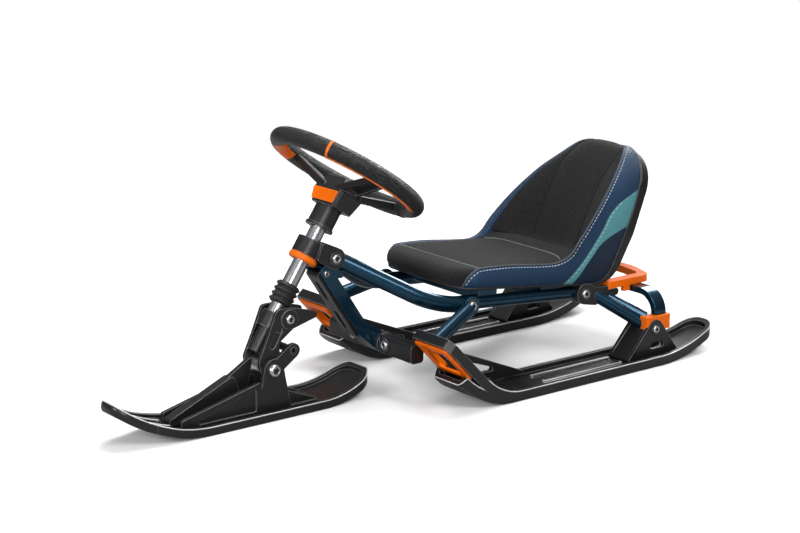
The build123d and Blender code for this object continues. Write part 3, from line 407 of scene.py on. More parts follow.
@dataclass(frozen=True)
class HardFinish(Finish):
    """A moulded, painted or plated surface with rounded edges that carry a painted highlight."""

    base: Colour
    # colour painted on the rounded edges as a highlight
    edge_highlight: Colour
    smooth: float
    rough: float
    grain: float
    depth: float
    metal: float = 0.0
    coat: float = 0.0
    edge: float = 0.0016
    gloss: float = 0.5
    cloud: float = 0.78
    coat_rough: float = 0.12

    def fill(self, shader: Shader, groups: Groups) -> None:
        """Adds the look's nodes; the arguments are those of Finish.fill."""
        grain = shader.group(groups.grain, Scale=self.grain)
        edge = shader.group(groups.edge, Radius=self.edge)
        darker = tuple(self.cloud * part for part in self.base)
        cloudy = shader.blend(grain.outputs["Clouds"], self.base, darker)
        # The edge mask lightens the colour towards the edge colour: a painted highlight.
        shader.feed("Base Color", shader.blend(edge.outputs["Edge"], cloudy, self.edge_highlight))
        shader.feed("Roughness", shader.ramp(grain.outputs["Fine"], 0.25, 0.75, self.smooth, self.rough))
        shader.set(Metallic=self.metal, Coat_Weight=self.coat, Coat_Roughness=self.coat_rough)
        shader.set(Specular_IOR_Level=self.gloss)
        shader.bump(grain.outputs["Fine"], self.depth, edge.outputs["Normal"])


@dataclass(frozen=True)
class GrainFinish(Finish):
    """An embossed, leather-like skin."""

    base: Colour
    top: Colour
    rough: float
    scale: float
    depth: float
    uneven: float = 0.12

    def fill(self, shader: Shader, groups: Groups) -> None:
        """Adds the look's nodes; the arguments are those of Finish.fill."""
        grain = shader.group(groups.grain, Scale=self.scale)
        shader.feed("Base Color", shader.blend(grain.outputs["Cells"], self.base, self.top))
        rough = shader.ramp(grain.outputs["Clouds"], 0.0, 1.0, self.rough, self.rough + self.uneven)
        shader.feed("Roughness", rough)
        shader.bump(grain.outputs["Cells"], self.depth)


@dataclass(frozen=True)
class WovenFinish(Finish):
    """A woven seat cloth with a soft sheen."""

    base: Colour
    light: Colour
    scale: float = 2600.0
    depth: float = 0.0004
    rough: Span = (0.95, 0.8)

    def fill(self, shader: Shader, groups: Groups) -> None:
        """Adds the look's nodes; the arguments are those of Finish.fill."""
        weave = shader.group(groups.weave, Scale=self.scale)
        shader.feed("Base Color", shader.blend(weave.outputs["Mottle"], self.base, self.light))
        shader.feed("Roughness", shader.ramp(weave.outputs["Height"], 0.0, 1.0, *self.rough))
        shader.set(Sheen_Weight=0.045, Sheen_Roughness=0.5, Specular_IOR_Level=0.2)
        height = shader.math("ADD", weave.outputs["Height"], weave.outputs["Mottle"])
        shader.bump(height, self.depth)


class EdgePoint(NamedTuple):
    """A point of a colour border: the height in metres and where the border is, in metres along X."""

    z: float
    x: float


@dataclass(frozen=True)
class PanelVinyl(Finish):
    """Bolster vinyl: navy in front, a leaf-shaped teal panel, dark navy behind it."""

    navy: Colour = (0.007, 0.032, 0.078)
    teal: Colour = (0.085, 0.28, 0.31)
    dark: Colour = (0.004, 0.016, 0.04)
    seam: Colour = (0.45, 0.6, 0.64)
    groove: Colour = (0.012, 0.03, 0.045)
    inset: float = 0.007
    pitch: float = 0.0066
    soft: float = 0.0006
    groove_edge: Span = (0.0004, 0.0014)
    groove_depth: float = 4.0
    thread_edge: Span = (0.0008, 0.0016)
    dash_edge: Span = (-0.3, 0.1)
    rough: Span = (0.42, 0.52)
    gloss: float = 0.32
    grain: float = 900.0
    depth: float = 0.00025
    front: tuple[EdgePoint, ...] = (
        EdgePoint(0.14, -0.262),
        EdgePoint(0.162, -0.284),
        EdgePoint(0.204, -0.33),
        EdgePoint(0.252, -0.378),
        EdgePoint(0.283, -0.409),
        EdgePoint(0.298, -0.44),
        EdgePoint(0.32, -0.53),
    )
    rear: tuple[EdgePoint, ...] = (
        EdgePoint(0.14, -0.29),
        EdgePoint(0.159, -0.307),
        EdgePoint(0.207, -0.352),
        EdgePoint(0.23, -0.383),
        EdgePoint(0.242, -0.422),
        EdgePoint(0.26, -0.52),
        EdgePoint(0.32, -0.6),
    )

    def _border(self, shader: Shader, points: Sequence[EdgePoint], place: Node) -> Socket:
        """Says how far a point lies in front of a border.

        Args:
            shader: the material that is built.
            points: the border, from the bottom up.
            place: the node with the point's coordinates apart.

        Returns:
            The distance in metres along X, below 0 behind the border.
        """
        low, high = points[0].z, points[-1].z
        height = shader.ramp(place.outputs["Z"], low, high)
        height.node.interpolation_type = "LINEAR"
        curve = shader.node("FloatCurve", {"Value": height})
        line = curve.mapping.curves[0]
        for index, point in enumerate(points):
            spot = ((point.z - low) / (high - low), -point.x)
            if index in (0, len(points) - 1):
                line.points[0 if index == 0 else -1].location = spot
            else:
                line.points.new(*spot)
        curve.mapping.update()
        return shader.math("ADD", place.outputs["X"], curve.outputs["Value"])

    def fill(self, shader: Shader, groups: Groups) -> None:
        """Adds the look's nodes; the arguments are those of Finish.fill."""
        grain = shader.group(groups.grain, Scale=self.grain)
        place = shader.node("SeparateXYZ", {0: shader.node("TexCoord").outputs["Object"]})
        front = self._border(shader, self.front, place)
        rear = self._border(shader, self.rear, place)
        behind_front = shader.ramp(front, -self.soft, self.soft, 1.0, 0.0)
        behind_rear = shader.ramp(rear, -self.soft, self.soft, 1.0, 0.0)
        colour = shader.blend(behind_front, self.navy, self.teal)
        colour = shader.blend(shader.math("MULTIPLY", behind_front, behind_rear), colour, self.dark)
        line = shader.ramp(shader.math("ABSOLUTE", front), *self.groove_edge, 1.0, 0.0)
        colour = shader.blend(line, colour, self.groove)
        thread = shader.math("ABSOLUTE", shader.math("ADD", front, self.inset))
        thread = shader.ramp(thread, *self.thread_edge, 1.0, 0.0)
        dash = shader.math("SINE", shader.math("MULTIPLY", place.outputs["Z"], 2.0 * math.pi / self.pitch))
        thread = shader.math("MULTIPLY", thread, shader.ramp(dash, *self.dash_edge))
        shader.feed("Base Color", shader.blend(thread, colour, self.seam))
        shader.feed("Roughness", shader.ramp(grain.outputs["Clouds"], 0.0, 1.0, *self.rough))
        shader.set(Specular_IOR_Level=self.gloss)
        deep = shader.math("MULTIPLY", line, self.groove_depth)
        shader.bump(shader.math("SUBTRACT", grain.outputs["Cells"], deep), self.depth)


# Name, colour, colour of the painted highlight on the edges, lowest and highest roughness, scale and depth
# of the grain.
BLACK = HardFinish("black_moulding", (0.009, 0.009, 0.0095), (0.32, 0.32, 0.325), 0.3, 0.42, 1400.0, 0.00012)
SKI = HardFinish("ski_moulding", (0.008, 0.0082, 0.009), (0.4, 0.4, 0.405), 0.26, 0.38, 900.0, 0.00015)
BLUE = HardFinish(
    "blue_paint", (0.009, 0.05, 0.09), (0.06, 0.2, 0.32), 0.2, 0.28, 2600.0, 0.00002, metal=0.8, coat=0.3
)
ORANGE = HardFinish(
    "orange_moulding", (0.94, 0.155, 0.0), (1.0, 0.38, 0.07), 0.3, 0.42, 1500.0, 0.00008, gloss=0.22
)
CHROME = HardFinish(
    "column_chrome", (0.6, 0.6, 0.615), (0.9, 0.9, 0.9), 0.27, 0.31, 700.0, 0.000002, metal=1.0
)
STEEL = HardFinish(
    "bolt_steel", (0.78, 0.78, 0.79), (0.95, 0.95, 0.95), 0.22, 0.34, 2200.0, 0.00003, metal=1.0, edge=0.0008
)
# Bright tube finish for the painted highlight lines along the skis' upper edges.
HIGHLIGHT_LINE = HardFinish("ski_highlight_line", (0.62, 0.62, 0.63), (0.85, 0.85, 0.85), 0.16, 0.26, 900.0, 0.00005)
# Near-black finish for the inside of the bolts' hex sockets: painted shade in the recess.
SOCKET_SHADE = HardFinish("bolt_socket_shade", (0.012, 0.012, 0.013), (0.03, 0.03, 0.03), 0.5, 0.7, 2000.0, 0.00005)
BOOT = HardFinish("boot_rubber", (0.012, 0.012, 0.013), (0.06, 0.06, 0.062), 0.4, 0.55, 1100.0, 0.00012)
# Name, colour between the grains and on them, roughness, scale and depth of the grain.
GRIP = GrainFinish("rim_grain", (0.002, 0.002, 0.002), (0.016, 0.016, 0.017), 0.3, 420.0, 0.0013)
PIPING = GrainFinish("seat_piping", (0.008, 0.008, 0.009), (0.02, 0.02, 0.021), 0.26, 1500.0, 0.0001)
EDGING = GrainFinish("seat_edging", (0.06, 0.058, 0.056), (0.13, 0.124, 0.12), 0.6, 1500.0, 0.0002)
THREAD = GrainFinish("seat_thread", (0.42, 0.5, 0.56), (0.66, 0.74, 0.8), 0.7, 2500.0, 0.0002)
SEAM = GrainFinish("seam_thread", (0.12, 0.12, 0.125), (0.3, 0.3, 0.31), 0.8, 900.0, 0.0004)
SHADE = GrainFinish("seam_shade", (0.004, 0.004, 0.004), (0.01, 0.01, 0.01), 0.9, 900.0, 0.0004)
FABRIC = WovenFinish("seat_cloth", (0.005, 0.005, 0.0053), (0.0175, 0.0175, 0.0185))
VINYL = PanelVinyl("bolster_vinyl")

NODE_FINISH = {
    Slot.BLACK: BLACK,
    Slot.SKI: SKI,
    Slot.BOOT: BOOT,
    Slot.GRIP: GRIP,
    Slot.BLUE: BLUE,
    Slot.ORANGE: ORANGE,
    Slot.CHROME: CHROME,
    Slot.STEEL: STEEL,
    Slot.FABRIC: FABRIC,
}


class Palette:
    """Builds each finish once."""

    def __init__(self) -> None:
        """Makes the shared groups and an empty store."""
        self.groups = Groups()
        self.made: dict[str, bpy.types.Material] = {}

    def get(self, finish: Finish) -> bpy.types.Material:
        """Gives a finish's material.

        Args:
            finish: the finish.

        Returns:
            Its material, built at the first call.
        """
        if finish.name not in self.made:
            self.made[finish.name] = finish.material(self.groups)
        return self.made[finish.name]


@dataclass
class Workshop:
    """Makes mesh pieces and fits them to the frame."""

    palette: Palette

    def piece(
        self,
        name: str,
        points: Sequence[Vector],
        faces: Sequence[Sequence[int]],
        finish: Finish,
        sharp: float,
    ) -> Piece:
        """Makes a mesh object.

        Args:
            name: the piece's name.
            points: its vertices in metres.
            faces: vertex numbers of each face.
            finish: its first finish.
            sharp: edges above this angle stay sharp, in degrees.

        Returns:
            The new object.
        """
        mesh = bpy.data.meshes.new(name)
        mesh.from_pydata([tuple(point) for point in points], [], [tuple(face) for face in faces])
        work = bmesh.new()
        work.from_mesh(mesh)
        bmesh.ops.recalc_face_normals(work, faces=work.faces)
        for face in work.faces:
            face.smooth = True
        work.to_mesh(mesh)
        work.free()
        mesh.set_sharp_from_angle(angle=math.radians(sharp))
        item = add_object(name, mesh)
        mesh.materials.append(self.palette.get(finish))
        return item

    def fit(self, item: Piece, body: Body, slot: Slot) -> None:
        """Hangs a piece on a body.

        Args:
            item: the piece.
            body: the body that it moves with.
            slot: not used.
        """
        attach(item, body.value)
        log.info("piece %s on %s", item.name, body.value)

    def tube(
        self,
        name: str,
        path: Sequence[Vector],
        radius: float,
        finish: Finish,
        closed: bool = False,
        sides: int = 10,
    ) -> Piece:
        """Sweeps a round section along a path.

        Args:
            name: the piece's name.
            path: points in metres.
            radius: the section's radius in metres.
            finish: the finish.
            closed: joins the end to the start.
            sides: corners of the section.

        Returns:
            The new object.
        """
        points: list[Vector] = []
        count = len(path)
        side = Vector((0.0, 0.0, 1.0))
        for index, spot in enumerate(path):
            before = path[index - 1] if index or closed else spot
            after = path[(index + 1) % count] if index < count - 1 or closed else spot
            ahead = (after - before).normalized()
            side = side - ahead * side.dot(ahead)
            if side.length < TINY:
                side = ahead.orthogonal()
            side.normalize()
            points += circle(spot, side, ahead.cross(side), radius, sides)
        return self.piece(name, points, ring_faces(count, sides, closed), finish, SOFT_ANGLE)

    def soften(self, item: Piece) -> None:
        """Rounds a padded piece off with one level of subdivision."""
        smooth = item.modifiers.new("rounding", "SUBSURF")
        smooth.levels = 1
        smooth.render_levels = 1


class Facing(Enum):
    """Which way a bolt's head looks."""

    SIDE = "side"
    FRONT = "front"


class BoltPlace(NamedTuple):
    """Where a bolt's head sits on the left side, in millimetres; radii of the head and of its boss ring."""

    name: str
    body: Body
    x: float
    y: float
    z: float
    radius: float
    boss: float
    facing: Facing = Facing.SIDE


@dataclass
class Bolts:
    """Button heads with hexagon sockets in dished boss rings, on both sides of every joint."""

    shop: Workshop
    segments: int = 36
    rise: float = 0.5
    socket: float = 0.46
    socket_depth: float = 0.4
    socket_rim: float = 1.06
    bevel: float = 0.3
    least_floor: float = 0.4
    foot: float = -0.6
    boss_gap: float = 1.1
    sharp: float = 35.0
    # The pivot bolt's solid has a domed head of its own, which the shown head has to cover.
    pivot: str = "ski_pivot"
    pivot_top: float = 6.9
    pivot_floor: float = 5.25
    # Shares of the head's radius and of its height.
    dome: tuple[Span, ...] = ((1.0, 0.3), (0.97, 0.5), (0.9, 0.72), (0.78, 0.9), (0.64, 1.0))
    # Whether a ring of the boss goes by its outer wall, the step off that wall and the height.
    boss_rings: tuple[tuple[bool, float, float], ...] = (
        (True, 0.0, -0.5),
        (True, 0.0, 1.0),
        (True, -0.8, 2.1),
        (False, 1.2, 2.3),
        (False, 0.0, 1.6),
        (False, 0.0, 0.1),
    )
    places: tuple[BoltPlace, ...] = (
        BoltPlace("head", Body.FRAME, 163.0, 30.0, 259.0, 9.0, 14.0),
        BoltPlace("strut_top", Body.FRAME, 179.0, 22.0, 233.0, 4.8, 7.5),
        BoltPlace("strut_foot", Body.FRAME, 70.0, 46.0, 90.0, 8.6, 13.0, Facing.FRONT),
        BoltPlace("leg_lug", Body.FRAME, -63.0, 129.3, 157.7, 8.6, 12.5),
        BoltPlace("rail_block", Body.FRAME, -338.0, 128.0, 134.6, 8.6, 13.0),
        BoltPlace("ski_bracket", Body.FRAME, -450.0, 202.5, 64.0, 7.6, 11.5),
        BoltPlace("fork", Body.STEERING, 261.0, 29.0, 166.0, 8.6, 0.0),
        BoltPlace("ski_pivot", Body.SKI, 299.0, 34.3, 83.0, 11.8, 0.0),
    )

    def _turned(
        self,
        name: str,
        place: BoltPlace,
        side: Side,
        profile: Sequence[tuple[float, float, bool]],
        finish: HardFinish,
    ) -> Piece:
        """Turns a profile about the bolt's axis.

        Args:
            name: the piece's name.
            place: the bolt's place.
            side: which side of the sled.
            profile: radius, height and whether the ring is a hexagon, from the outer foot to the middle.
            finish: the finish.

        Returns:
            The new object.
        """
        points: list[Vector] = []
        for radius, height, hexagon in profile:
            for step in range(self.segments):
                turn = 2.0 * math.pi * step / self.segments
                reach = radius
                if hexagon:
                    reach = radius / math.cos((turn % (math.pi / 3.0)) - math.pi / 6.0)
                flat, rise = reach * math.cos(turn), reach * math.sin(turn)
                spot = Vector((place.x, side.value * place.y, place.z + rise))
                if place.facing is Facing.SIDE:
                    spot += Vector((flat, side.value * height, 0.0))
                else:
                    spot += Vector((height, flat, 0.0))
                points.append(spot * MM)
        return self.shop.piece(name, points, ring_faces(len(profile), self.segments), finish, self.sharp)

    def _head(self, place: BoltPlace, side: Side) -> None:
        """Makes one head with its socket.

        Args:
            place: the bolt's place.
            side: which side of the sled.
        """
        radius = place.radius
        covers = place.name == self.pivot
        top = max(radius * self.rise, self.pivot_top if covers else 0.0)
        hole = radius * self.socket
        floor = max(top - radius * self.socket_depth, self.pivot_floor if covers else self.least_floor)
        profile = [(radius, self.foot, False)]
        profile += [(radius * wide, tall * top, False) for wide, tall in self.dome]
        profile += [(hole * self.socket_rim, top, True), (hole, top - self.bevel, True), (hole, floor, True)]
        name = f"bolt_{place.name}_{side.label}"
        head = self._turned(name, place, side, profile, STEEL)
        # The socket's walls and floor take the near-black finish: painted shade in the recess.
        head.data.materials.append(self.shop.palette.get(SOCKET_SHADE))
        walls = (len(profile) - 2) * self.segments
        for face in head.data.polygons:
            if walls <= face.index < walls + self.segments or face.index == len(head.data.polygons) - 1:
                face.material_index = 1
        self.shop.fit(head, place.body, Slot.STEEL)

    def _boss(self, place: BoltPlace, side: Side) -> None:
        """Makes the dished ring round a head.

        Args:
            place: the bolt's place.
            side: which side of the sled.
        """
        inner = place.radius * self.boss_gap
        profile = []
        for outer, step, height in self.boss_rings:
            profile.append(((place.boss if outer else inner) + step, height, False))
        ring = self._turned(f"boss_{place.name}_{side.label}", place, side, profile, BLACK)
        self.shop.fit(ring, place.body, Slot.BLACK)

    def build(self) -> None:
        """Makes all heads and rings."""
        for place in self.places:
            for side in Side:
                self._head(place, side)
                if place.boss:
                    self._boss(place, side)


class Station(NamedTuple):
    """One cross-section of the upholstery's left half, in millimetres.

    The middle line is at Y 0, the edge is the stitched line between cloth and vinyl, the rim is
    where the vinyl meets the shell, and seam is the back panel's seam as a share of the edge's Y.
    """

    mid_x: float
    mid_z: float
    edge_y: float
    edge_x: float
    edge_z: float
    rim_y: float
    rim_x: float
    rim_z: float
    seam: float


@dataclass
class Upholstery:
    """The bucket seat's cover: cushion, back panel and side bolsters with stitching and piping."""

    shop: Workshop
    # Stations of the crease and of the front roll's seam, row of the rear seam, rows to a station.
    crease: int = 10
    roll: int = 4
    tail: int = 30
    fine: int = 4
    # Columns of the cloth: how many up to the panel's seam, and their spread from there to the edge.
    inner: int = 7
    spread: tuple[float, ...] = (0.18, 0.36, 0.54, 0.72, 0.88, 0.96, 1.0)
    # How late the back and the seat rise to the edge, and how much later the seat swings forward.
    hollow_back: float = 2.4
    hollow_seat: float = 3.2
    square: float = 2.2
    # The cloth's padding between seams: lengths in millimetres, a power, and the angle of sharp edges.
    row_length: float = 6.0
    puff_reach: float = 11.0
    puff_power: float = 1.2
    puff: float = 4.2
    seam_depth: float = 2.2
    hem: float = 1.5
    thick: float = 12.0
    cloth_angle: float = 70.0
    # The bolsters: points from the edge to the rim, swell, and how far the lining lies behind.
    girth: tuple[float, ...] = (0.0, 0.012, 0.04, 0.1, 0.22, 0.36, 0.5, 0.64, 0.78, 0.9, 0.97, 1.0)
    bulge: float = 6.5
    bulge_share: float = 0.22
    bulge_power: float = 0.75
    lining: float = 9.0
    lining_middle: float = 1.8
    lining_edge: float = 0.15
    # Stitches: length, gap, way in from the edge, how many such ways wide the bolster has to be, height over
    # it, radius, corners, and how the radius changes along one, as shares of its length and radius.
    stitch_length: float = 4.0
    stitch_gap: float = 3.4
    stitch_inset: float = 4.6
    stitch_room: float = 3.0
    stitch_lift: float = 0.5
    stitch_radius: float = 0.95
    stitch_sides: int = 6
    stitch_taper: tuple[Span, ...] = ((0.0, 0.45), (0.2, 1.0), (0.8, 1.0), (1.0, 0.45))
    # Radii of piping, edging and seams, how far they are moved off the cloth, columns that the rear seam
    # leaves free at each end, and steps of the piping over the top.
    piping: float = 2.7
    edging: float = 1.2
    edging_lift: float = 0.4
    cross_seam: float = 1.0
    cross_drop: Vector = Vector((0.0, 0.0, -1.2))
    tail_short: int = 3
    back_seam: float = 1.1
    back_drop: Vector = Vector((-0.6, 0.0, -0.5))
    top_steps: int = 8
    stations: tuple[Station, ...] = (
        Station(-47, 188.5, 106, -57, 187, 107.5, -58, 186.5, 0.5),
        Station(-40, 200, 112.5, -58, 198, 115, -66, 186, 0.5),
        Station(-42, 212, 117, -64, 209.5, 120.5, -76, 185.5, 0.5),
        Station(-57, 220, 119.5, -75, 217.5, 122.5, -86, 184.8, 0.5),
        Station(-93, 219.5, 120.5, -89, 221, 122.5, -98, 183.5, 0.5),
        Station(-150, 216, 121.5, -150, 217.5, 122.5, -160, 175.5, 0.5),
        Station(-215, 213, 122.5, -215, 209, 122.5, -228, 166.5, 0.5),
        Station(-275, 210, 124, -255, 204.5, 122.5, -280, 159.5, 0.5),
        Station(-324, 208.5, 125.5, -276, 206, 122.5, -318, 154.5, 0.5),
        Station(-351, 206.5, 127, -291, 211, 122.5, -348, 151, 0.49),
        Station(-366, 200, 128, -304, 220, 122.5, -372, 150, 0.484),
        Station(-380, 207, 127.5, -317, 235, 122.5, -392, 157, 0.486),
        Station(-392, 235, 126, -335, 252, 122.5, -408, 175, 0.492),
        Station(-408, 272, 121, -362, 277, 121.5, -430, 212, 0.512),
        Station(-427, 312, 113, -391, 302, 118, -456, 255, 0.549),
        Station(-446, 346, 100, -425, 330, 110.5, -481, 297, 0.62),
        Station(-463, 368, 81, -461, 356, 97.5, -502, 331, 0.74),
        Station(-482, 384, 63, -490, 377, 77, -517, 356, 0.86),
        Station(-503, 386, 46, -509, 382, 55, -526, 370.5, 0.9),
        Station(-526, 377.5, 31, -527, 377, 33, -529, 375.5, 0.9),
    )

    def __post_init__(self) -> None:
        """Rounds the stations off into fine rows."""
        self.rows = self._rows()

    def _rows(self) -> list[Station]:
        """Puts smooth rows between the stations.

        Returns:
            The stations with smooth ones in between.
        """
        rows: list[Station] = []
        last = len(self.stations) - 1
        for index in range(last):
            before = self.stations[max(index - 1, 0)]
            first, second = self.stations[index], self.stations[index + 1]
            after = self.stations[min(index + 2, last)]
            for step in range(self.fine):
                t = step / self.fine
                values = []
                for p, a, b, n in zip(before, first, second, after):
                    bend = (2 * p - 5 * a + 4 * b - n) * t * t + (3 * a - p - 3 * b + n) * t**3
                    values.append(0.5 * (2 * a + (b - p) * t + bend))
                rows.append(Station(*values))
        rows.append(self.stations[-1])
        return rows

    def edge(self, row: Station, side: Side) -> Vector:
        """Gives the stitched edge's point of a row, in millimetres."""
        return Vector((row.edge_x, side.value * row.edge_y, row.edge_z))

    def rim(self, row: Station, side: Side) -> Vector:
        """Gives the shell rim's point of a row, in millimetres."""
        return Vector((row.rim_x, side.value * row.rim_y, row.rim_z))

    def across(self, row: Station, share: float, side: Side, panel: bool) -> Vector:
        """Gives a point of the cloth between the middle and the stitched edge.

        Args:
            row: the cross-section.
            share: 0 at the middle, 1 at the edge.
            side: which side of the sled.
            panel: whether the row is the back's and not the seat's.

        Returns:
            The point in millimetres.
        """
        rise = self.hollow_back if panel else self.hollow_seat
        swing = rise if panel else rise * self.square
        x = row.mid_x + (row.edge_x - row.mid_x) * share**swing
        z = row.mid_z + (row.edge_z - row.mid_z) * share**rise
        return Vector((x, side.value * row.edge_y * share, z))

    def _columns(self, row: Station) -> list[tuple[float, Side]]:
        """Spreads the cloth's columns from the left edge to the right one.

        Args:
            row: the cross-section.

        Returns:
            Share of the half width and the side, for each column.
        """
        half = [row.seam * step / self.inner for step in range(self.inner + 1)]
        half += [row.seam + (1.0 - row.seam) * spread for spread in self.spread]
        left = [(share, Side.LEFT) for share in reversed(half)]
        return left + [(share, Side.RIGHT) for share in half[1:]]

    def _cloth(self, name: str, first: int, last: int, seams: Sequence[int], panel: bool) -> Piece:
        """Makes a crowned, closed cloth pad from some of the rows.

        Args:
            name: the piece's name.
            first: its first row.
            last: its last row.
            seams: rows with a seam across.
            panel: whether the back panel's two seams run along it.

        Returns:
            The new object.
        """
        rows = range(first, last + 1)
        width = len(self._columns(self.rows[first]))
        marks = {len(self.spread), width - 1 - len(self.spread)} if panel else set()
        top: list[Vector] = []
        for index in rows:
            row = self.rows[index]
            top += [self.across(row, share, side, panel) for share, side in self._columns(row)]
        normals = self._normals(top, width)
        for number, spot in enumerate(top):
            line = number // width
            gaps = [abs(line + first - seam) * self.row_length for seam in (*seams, first, last)]
            gaps += [abs(spot.y - top[line * width + mark].y) for mark in (*marks, 0, width - 1)]
            crown = 1.0 - math.exp(-((min(gaps) / self.puff_reach) ** self.puff_power))
            spot += normals[number] * (self.puff * crown - self.seam_depth)
        under = []
        for number, (spot, normal) in enumerate(zip(top, normals)):
            column = number % width
            inset = min(min(column, width - 1 - column) / len(self.spread), 1.0)
            under.append(spot - normal * (self.hem + (self.thick - self.hem) * inset**2))
        points = [spot * MM for spot in top + under]
        count = len(top)
        faces: list[list[int]] = []
        for line in range(len(rows) - 1):
            for column in range(width - 1):
                here = line * width + column
                quad = [here, here + 1, here + width + 1, here + width]
                faces.append(quad)
                faces.append([count + corner for corner in reversed(quad)])
        border = list(range(width))
        border += [line * width + width - 1 for line in range(1, len(rows))]
        border += [count - 1 - column for column in range(1, width)]
        border += [line * width for line in range(len(rows) - 2, 0, -1)]
        for index, corner in enumerate(border):
            after = border[(index + 1) % len(border)]
            faces.append([corner, count + corner, count + after, after])
        item = self.shop.piece(name, points, faces, FABRIC, self.cloth_angle)
        self.shop.soften(item)
        return item

    def _normals(self, points: Sequence[Vector], width: int) -> list[Vector]:
        """Finds the outward normals of a grid of points.

        Args:
            points: the grid, row after row.
            width: points in a row.

        Returns:
            A unit normal for each point.
        """
        found = []
        height = len(points) // width
        for number in range(len(points)):
            line, column = divmod(number, width)
            low, high = max(line - 1, 0), min(line + 1, height - 1)
            left, right = max(column - 1, 0), min(column + 1, width - 1)
            along = points[high * width + column] - points[low * width + column]
            over = points[line * width + right] - points[line * width + left]
            found.append(along.cross(over).normalized())
        return found

    def bolster_point(self, index: int, share: float, side: Side, lift: float = 0.0) -> Vector:
        """Gives a point on the bolster's outer face.

        Args:
            index: the row.
            share: 0 at the stitched edge, 1 at the shell's rim.
            side: which side of the sled.
            lift: how far above the face, in millimetres.

        Returns:
            The point in millimetres.
        """
        row = self.rows[index]
        before = self.rows[max(index - 1, 0)]
        after = self.rows[min(index + 1, len(self.rows) - 1)]
        edge, rim = self.edge(row, side), self.rim(row, side)
        along = self.edge(after, side) + self.rim(after, side)
        along = along - self.edge(before, side) - self.rim(before, side)
        out = along.cross(rim - edge)
        if out.length < TINY:
            out = Vector((0.0, side.value, 0.0))
        out.normalize()
        if out.y * side.value < 0.0:
            out = -out
        swell = 0.0
        if 0.0 < share < 1.0:
            depth = min(self.bulge, self.bulge_share * (rim - edge).length)
            swell = depth * math.sin(math.pi * share) ** self.bulge_power
        return edge.lerp(rim, share) + out * (swell + lift)

    def _bolster(self, side: Side) -> None:
        """Makes one closed side bolster.

        Args:
            side: which side of the sled.
        """
        inward = Vector((0.0, -self.lining * side.value, 0.0))
        points: list[Vector] = []
        for index in range(len(self.rows)):
            outside = [self.bolster_point(index, share, side) for share in self.girth]
            inside = [
                outside[-1] + inward,
                outside[len(outside) // 2] + inward * self.lining_middle,
                outside[0] + inward,
                outside[0] + inward * self.lining_edge,
            ]
            points += [spot * MM for spot in outside + inside]
        faces = ring_faces(len(self.rows), len(points) // len(self.rows))
        item = self.shop.piece(f"bolster_{side.label}", points, faces, VINYL, SOFT_ANGLE)
        self.shop.soften(item)
        self.shop.fit(item, Body.FRAME, Slot.VINYL)

    def _stitches(self, side: Side) -> None:
        """Sews a dotted line along the bolster's stitched edge.

        Args:
            side: which side of the sled.
        """
        path = []
        for index, row in enumerate(self.rows):
            reach = (self.rim(row, side) - self.edge(row, side)).length
            if reach > self.stitch_room * self.stitch_inset:
                path.append(self.bolster_point(index, self.stitch_inset / reach, side, self.stitch_lift))
        points: list[Vector] = []
        faces: list[list[int]] = []
        run, start = 0.0, None
        for here, there in zip(path, path[1:]):
            span = (there - here).length
            while run < span:
                spot = here.lerp(there, run / span)
                if start is None:
                    start, run = spot, run + self.stitch_length
                else:
                    faces += ring_faces(len(self.stitch_taper), self.stitch_sides, base=len(points))
                    points += self._stitch(start, spot)
                    start, run = None, run + self.stitch_gap
            run -= span
        item = self.shop.piece(f"stitching_{side.label}", points, faces, THREAD, SOFT_ANGLE)
        self.shop.fit(item, Body.FRAME, Slot.VINYL)

    def _stitch(self, start: Vector, end: Vector) -> list[Vector]:
        """Makes the rings of one stitch, a short thread with drawn-in ends.

        Args:
            start: the stitch's first end in millimetres.
            end: its other end.

        Returns:
            The points in metres, ring after ring.
        """
        ahead = (end - start).normalized()
        side = ahead.orthogonal().normalized()
        points: list[Vector] = []
        for share, size in self.stitch_taper:
            radius = self.stitch_radius * size
            points += circle(start.lerp(end, share), side, ahead.cross(side), radius, self.stitch_sides)
        return [spot * MM for spot in points]

    def _trim(self) -> None:
        """Adds the piping round the shell, the edging, the seam threads across the seat and near-black tubes
        of painted shade along the back panel's seams.
        """
        left = [self.rim(row, Side.LEFT) * MM for row in self.rows]
        right = [self.rim(row, Side.RIGHT) * MM for row in reversed(self.rows)]
        first, last = self.rows[0], self.rows[-1]
        shares = [step / self.top_steps for step in range(1, self.top_steps)]
        over = [self.rim(last, Side.LEFT).lerp(self.rim(last, Side.RIGHT), share) * MM for share in shares]
        front = []
        for share, side in reversed(self._columns(first)[1:-1]):
            front.append(self.across(first, share, side, False) * MM)
        path = left + over + right + front
        piping = self.shop.tube("seat_piping", path, self.piping * MM, PIPING, True)
        self.shop.fit(piping, Body.FRAME, Slot.VINYL)
        for side in Side:
            numbers = range(len(self.rows))
            path = [self.bolster_point(index, 0.0, side, self.edging_lift) * MM for index in numbers]
            edging = self.shop.tube(f"edging_{side.label}", path, self.edging * MM, EDGING)
            self.shop.fit(edging, Body.FRAME, Slot.VINYL)
        seams = (
            ("seam_front_roll", self.roll * self.fine, 0),
            ("seam_rear_roll", self.tail, self.tail_short),
        )
        for name, number, short in seams:
            row = self.rows[number]
            columns = self._columns(row)
            columns = columns[short:len(columns) - short]
            path = [(self.across(row, share, side, False) + self.cross_drop) * MM for share, side in columns]
            seam = self.shop.tube(name, path, self.cross_seam * MM, SEAM)
            self.shop.fit(seam, Body.FRAME, Slot.FABRIC)
        # The back panel's seams are near-black tubes: painted shade in the seam grooves.
        rows = self.rows[(self.crease + 1) * self.fine:-2]
        for side in Side:
            path = [(self.across(row, row.seam, side, True) + self.back_drop) * MM for row in rows]
            seam = self.shop.tube(f"seam_back_{side.label}", path, self.back_seam * MM, SHADE)
            self.shop.fit(seam, Body.FRAME, Slot.FABRIC)

